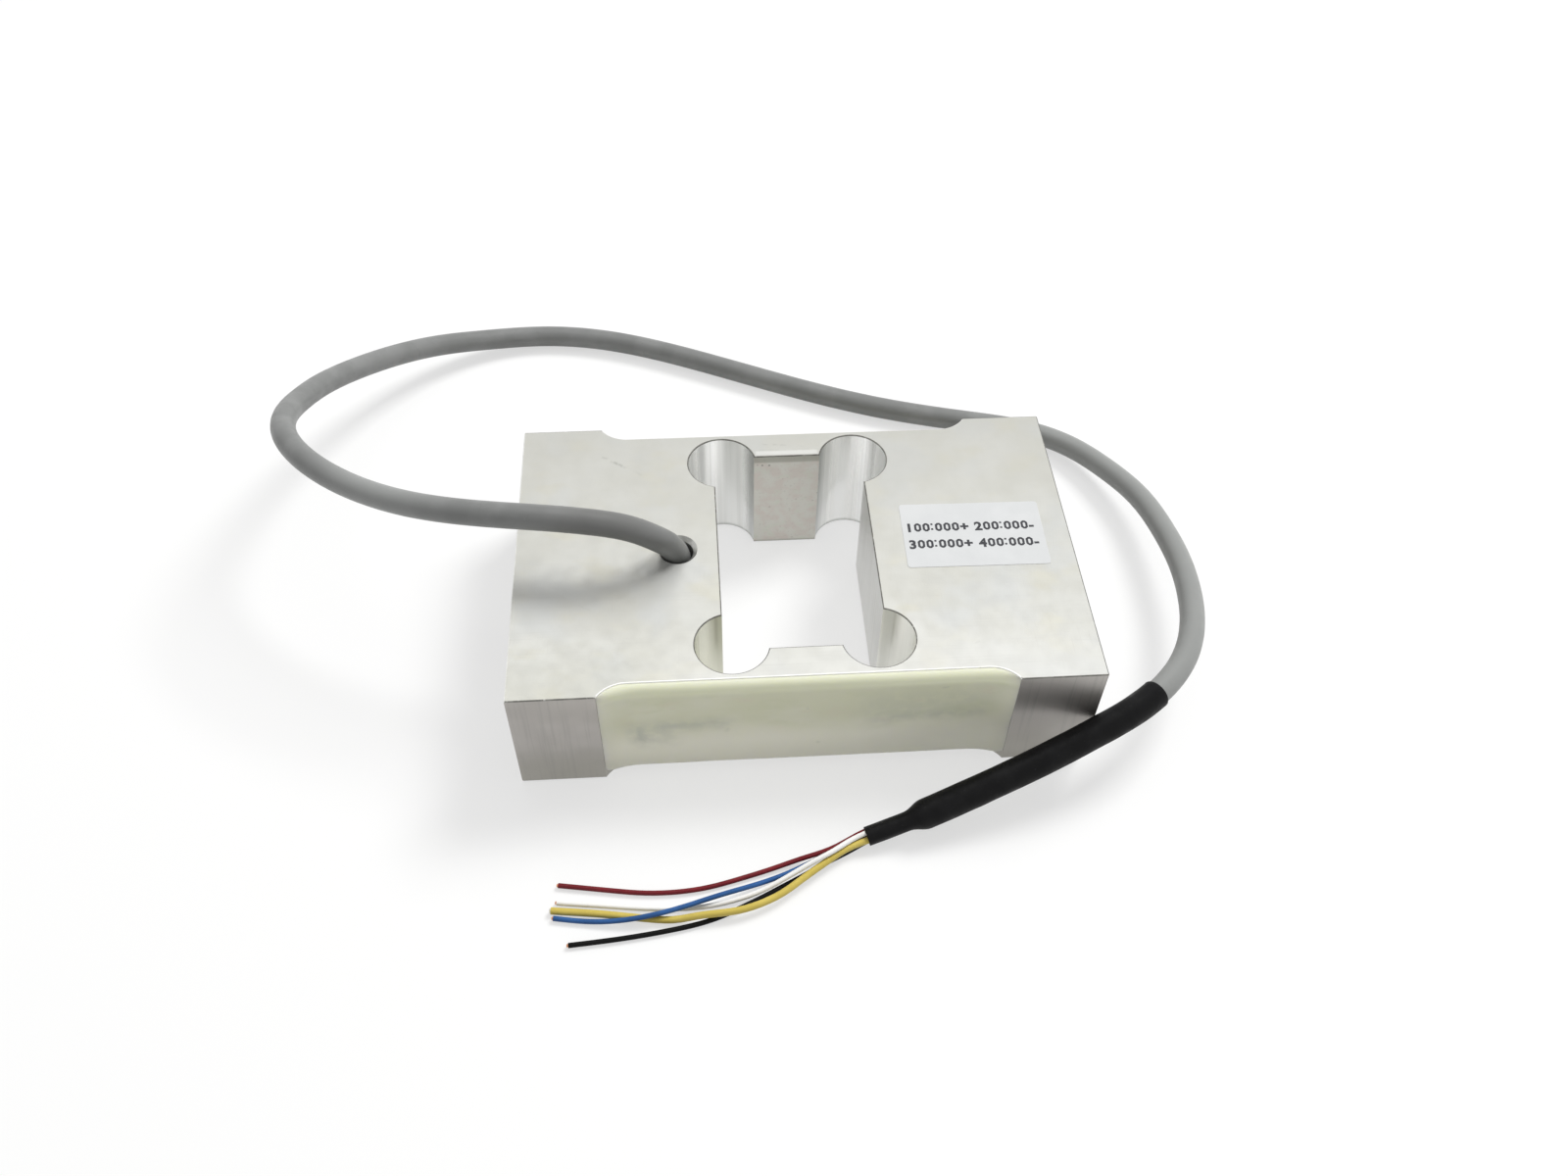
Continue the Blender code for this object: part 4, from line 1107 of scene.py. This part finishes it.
def make_conductor(name, tip, direction, radius, finish):
    """Seven bare strands that show at the cut end of a wire."""
    strand = STRAND * radius
    edge = STRAND_ROUNDING * strand
    _, side, other = around(direction)
    spacing = STRAND_SPACING * strand
    places = [(0, 0)]
    places += [(spacing * math.cos(a), spacing * math.sin(a)) for a in full_turn(OUTER_STRANDS)]
    bm = bmesh.new()
    for number, (across, up) in enumerate(places):
        centre = Vector(tip) + side * across + other * up
        out = STRAND_OUT + STRAND_UNEVEN * math.sin(STRAND_PHASE * number)
        steps = [(-STRAND_HELD, strand), (out - edge, strand), (out, strand - edge)]
        add_turned(bm, centre, direction, steps, STRAND_SIDES)
    mesh = mesh_of(name, bm)
    smooth(mesh, SMOOTH_ANGLE)
    return piece(name, mesh, [finish])


def make_lead(finishes):
    """The jacket, the sleeve over its end and the five wires that come out of the sleeve."""
    in_bore = [(BORE_X, 0, JACKET_END), (BORE_X, 0, JACKET_END + JACKET_STRAIGHT)]
    route = np.vstack([in_bore, np.array(LEAD_ROUTE) * MM])
    lead = Line(smooth_curve(route, CORD_STEP))
    jacket_end = lead.length - SLEEVE_LENGTH + JACKET_IN_SLEEVE
    points = lead.between(0, jacket_end, CORD_STEP)
    jacket = cord_curve(
        "jacket", points, JACKET_RADIUS, JACKET_SIDES, finishes["jacket"], ["lead_jacket"],
    )
    sleeve = make_sleeve(lead, finishes["sleeve"])
    held = np.linspace(jacket_end + GAP, lead.length - WIRE_RADIUS, HELD_POINTS)
    for colour, (angle, run) in WIRES.items():
        radius = SHIELD_WIRE_RADIUS if colour == "yellow" else WIRE_RADIUS
        route = [lead.off_centre(place, BUNDLE_RADIUS - radius, math.radians(angle)) for place in held]
        route += [np.array(point) * MM for point in run]
        points = smooth_curve(route, CORD_STEP)
        name = f"{colour}_insulation"
        wire = cord_curve(name, points, radius, WIRE_SIDES, finishes[colour], [f"{colour}_wire"])
        conductor = make_conductor(
            f"{colour}_conductor", points[-1], points[-1] - points[-2], radius,
            finishes["tinned" if colour == "yellow" else "copper"],
        )


def make_label(finishes):
    """The label's film, with two rows of numbers, small frames and signs printed on it."""
    low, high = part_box("wiring_label")
    centre = (low + high) / 2
    place = Matrix.Translation((centre.x, centre.y, HEIGHT)) @ Matrix.Rotation(LABEL_TURN, 4, "Z")

    def outline(inset):
        across, up = LABEL_LENGTH / 2 - LABEL_CORNER, LABEL_WIDTH / 2 - LABEL_CORNER
        corner = arc((0, 0), LABEL_CORNER - inset, 0, math.pi / 2, LABEL_CORNER_STEPS)
        return four_ways([(across + x, up + y) for x, y in corner])

    steps = [(LABEL_LIFT, 0), (LABEL_WALL, 0), (LABEL_FILM, LABEL_EDGE)]
    film = loft("label", [[place @ Vector((x, y, z)) for x, y in outline(inset)] for z, inset in steps])
    smooth(film, LABEL_SMOOTH_ANGLE)
    piece("label", film, [finishes["label"]], ["wiring_label"])

    bm = bmesh.new()
    for number, (x, y), sign in PRINT_GROUPS:
        add_text(bm, number, (x, y), place)
        for start, count in (FIRST_FRAMES, LAST_FRAMES):
            for i in range(count):
                add_frame(bm, (x + start + i * FRAME_PITCH, y), place)
        for rise in COLON_RISES:
            add_dot(bm, (x + COLON, y + rise * PRINT_HEIGHT), place)
        add_text(bm, sign, (x + SIGN, y), place)
    piece("label_print", mesh_of("label_print", bm), [finishes["ink"]])


def add_text(bm, text, corner, place):
    """Adds the flat shape of a character, as a thin layer of ink on the film."""
    curve = bpy.data.curves.new(f"character_{text}", "FONT")
    curve.body = text
    curve.size = PRINT_HEIGHT / CAP_HEIGHT
    curve.offset = CHARACTER_WEIGHT
    curve.extrude = CHARACTER_INK
    shape = add_object(curve.name, curve)
    bpy.context.view_layer.update()
    mesh = bpy.data.meshes.new_from_object(shape.evaluated_get(bpy.context.evaluated_depsgraph_get()))
    bpy.data.objects.remove(shape)
    mesh.transform(place @ Matrix.Translation((corner[0], corner[1], LABEL_FILM + LABEL_LIFT)))
    bm.from_mesh(mesh)


def cut_corners(low, high, cut, z, place):
    """An eight-sided outline in the label's plane, between two opposite corners."""
    ring = [
        (low[0] + cut, low[1]), (high[0] - cut, low[1]), (high[0], low[1] + cut), (high[0], high[1] - cut),
        (high[0] - cut, high[1]), (low[0] + cut, high[1]), (low[0], high[1] - cut), (low[0], low[1] + cut),
    ]
    return [place @ Vector((x, y, z)) for x, y in ring]


def add_frame(bm, corner, place):
    """Adds a printed upright frame with cut corners, open in the middle."""
    rings = []
    for inset, z in ((0, LABEL_FILM), (0, LABEL_FILM + INK), (1, LABEL_FILM + INK), (1, LABEL_FILM)):
        step = inset * PRINT_STROKE
        low = corner[0] + step, corner[1] + step
        high = corner[0] + FRAME_WIDTH - step, corner[1] + PRINT_HEIGHT - step
        rings.append(cut_corners(low, high, PRINT_STROKE / (1 + inset), z, place))
    skin(bm, rings, closed=True)


def add_dot(bm, corner, place):
    """Adds a small printed square with cut corners."""
    high = corner[0] + PRINT_STROKE, corner[1] + PRINT_STROKE
    skin(bm, [cut_corners(corner, high, DOT_CUT, z, place) for z in (LABEL_FILM, LABEL_FILM + INK)])


def dress(name, finish):
    """Gives a carried-over node its finish."""
    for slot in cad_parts[name].material_slots:
        slot.material = finish


def dress_inner_pieces(finishes):
    for place in ("front", "rear"):
        gauge = gauge_foil(place)
        dress(f"{place}_bridge_board", finishes["board"])
        dress(f"{place}_lower_resistor", finishes["resistor"])
        dress(f"{place}_upper_resistor", finishes["resistor"])
        for end in ("near", "far"):
            dress(f"{place}_{end}_gauge", gauge)
            dress(f"{place}_{end}_terminal", finishes["copper"])
            dress(f"{place}_{end}_ribbon", finishes["ribbon"])
    for name in ("front_red_core", "front_black_core", "rear_blue_core", "rear_white_core"):
        dress(name, finishes[name.split("_")[1]])
    dress("bore_seal", finishes["seal"])


def bare_tree(owner):
    """The node tree of a world or material, emptied."""
    owner.use_nodes = True
    owner.node_tree.nodes.clear()
    return owner.node_tree


def add_shader(tree, kind, socket=None, value=None):
    """Adds a shader node with one of its sockets set."""
    node = tree.nodes.new(kind)
    if socket:
        node.inputs[socket].default_value = value
    return node


def mix_by_ray(tree, others, seen, output):
    """Shows one shader to the rays that see the background and another to all others."""
    mix = tree.nodes.new("ShaderNodeMixShader")
    tree.links.new(background_ray(tree), mix.inputs[0])
    tree.links.new(others.outputs[0], mix.inputs[1])
    tree.links.new(seen.outputs[0], mix.inputs[2])
    tree.links.new(mix.outputs[0], tree.nodes.new(output).inputs["Surface"])


def make_floor():
    """A white floor that shows as plain white, apart from the object's shadow on it."""
    bm = bmesh.new()
    bmesh.ops.create_grid(bm, x_segments=1, y_segments=1, size=FLOOR_HALF)
    mesh = mesh_of("floor", bm)
    floor = add_object("floor", mesh)
    floor.location.z = -FLOOR_DROP

    surface = bpy.data.materials.new("floor")
    tree = bare_tree(surface)
    card = add_shader(tree, "ShaderNodeBsdfDiffuse", "Color", FLOOR_COLOUR)
    seen_card = add_shader(tree, "ShaderNodeBsdfDiffuse", "Color", FLOOR_SEEN_COLOUR)
    glow = add_shader(tree, "ShaderNodeEmission", "Strength", FLOOR_GLOW)
    seen = add_shader(tree, "ShaderNodeAddShader")
    tree.links.new(glow.outputs[0], seen.inputs[0])
    tree.links.new(seen_card.outputs[0], seen.inputs[1])
    mix_by_ray(tree, card, seen, "ShaderNodeOutputMaterial")
    mesh.materials.append(surface)


def background_ray(tree):
    """1 for the rays that see the background: from the camera, off a gloss or through a clear piece."""
    path = tree.nodes.new("ShaderNodeLightPath")
    ray = path.outputs["Is Camera Ray"]
    for name in ("Is Glossy Ray", "Is Transmission Ray"):
        either = tree.nodes.new("ShaderNodeMath")
        either.operation = "MAXIMUM"
        tree.links.new(ray, either.inputs[0])
        tree.links.new(path.outputs[name], either.inputs[1])
        ray = either.outputs[0]
    return ray


def make_light():
    """A white surround, a lamp high behind the object on its right and a wide, weak one overhead."""
    world = bpy.data.worlds.new("surround")
    bpy.context.scene.world = world
    tree = bare_tree(world)
    sky = add_shader(tree, "ShaderNodeBackground", "Strength", SKY_LEVEL)
    white = add_shader(tree, "ShaderNodeBackground", "Strength", 1.0)
    for shader in (sky, white):
        shader.inputs["Color"].default_value = (1, 1, 1, 1)
    mix_by_ray(tree, sky, white, "ShaderNodeOutputWorld")
    make_lamp("key", *KEY).visible_glossy = False
    make_lamp("overhead", *OVERHEAD)


def make_lamp(name, direction, distance, width, power):
    """A square lamp that looks at the middle of the object from the direction given."""
    lamp = bpy.data.lights.new(name, "AREA")
    lamp.shape = "SQUARE"
    lamp.size = width
    lamp.energy = power
    holder = add_object(name, lamp)
    away = Vector(direction).normalized()
    holder.location = away * distance
    holder.rotation_euler = away.to_track_quat("Z", "Y").to_euler()
    return holder


def make_camera():
    camera = add_object("camera", bpy.data.cameras.new("camera"))
    camera.data.sensor_width = CAMERA_SENSOR
    camera.data.lens = CAMERA_LENS
    camera.data.clip_start = CAMERA_NEAR
    columns = [Vector(CAMERA_RIGHT), Vector(CAMERA_UP), -Vector(CAMERA_FORWARD)]
    turn = Matrix(columns).transposed().to_4x4()
    camera.matrix_world = Matrix.Translation(CAMERA_PLACE) @ turn
    bpy.context.scene.camera = camera


def make_finishes():
    return {
        "milled": milled_aluminium(),
        "side": side_aluminium(),
        "bored": bored_aluminium(),
        "flat": flat_aluminium(),
        "wall": wall_aluminium(),
        "drilled": drilled_aluminium(),
        "edge": edge_aluminium(),
        "bright": bright_aluminium(),
        "jacket": grey_jacket(),
        "sleeve": black_sleeve(),
        "red": insulation("red_insulation", (0.135, 0.006, 0.011), (0.175, 0.009, 0.014)),
        "white": insulation("white_insulation", (0.82, 0.815, 0.795), (0.86, 0.855, 0.835)),
        "blue": insulation("blue_insulation", (0.020, 0.080, 0.235), (0.028, 0.105, 0.300)),
        "yellow": insulation("yellow_insulation", (0.54, 0.425, 0.088), (0.62, 0.495, 0.118)),
        "black": insulation("black_insulation", (0.0035, 0.0035, 0.0033), (0.006, 0.006, 0.006), 0.10),
        "copper": metal("copper", (0.72, 0.36, 0.20), (0.60, 0.28, 0.15), 0.3),
        "tinned": metal("tinned_copper", (0.66, 0.65, 0.62), (0.56, 0.53, 0.47), 0.3),
        "label": label_film(),
        "ink": label_ink(),
        "board": circuit_board(),
        "resistor": matte("resistor", (0.035, 0.035, 0.04), (0.05, 0.05, 0.055), 0.4),
        "ribbon": matte("ribbon", (0.55, 0.54, 0.50), (0.62, 0.61, 0.57), 0.5),
        "seal": matte("seal", (0.020, 0.020, 0.021), (0.03, 0.03, 0.031), 0.55),
    }


bpy.context.scene.view_settings.view_transform = "Standard"
make_camera()
finishes = make_finishes()
make_lead(finishes)
make_body(finishes)
make_coat("front", -1, silicone("front"))
make_coat("rear", 1, silicone("rear"))
make_label(finishes)
dress_inner_pieces(finishes)
make_floor()
make_light()
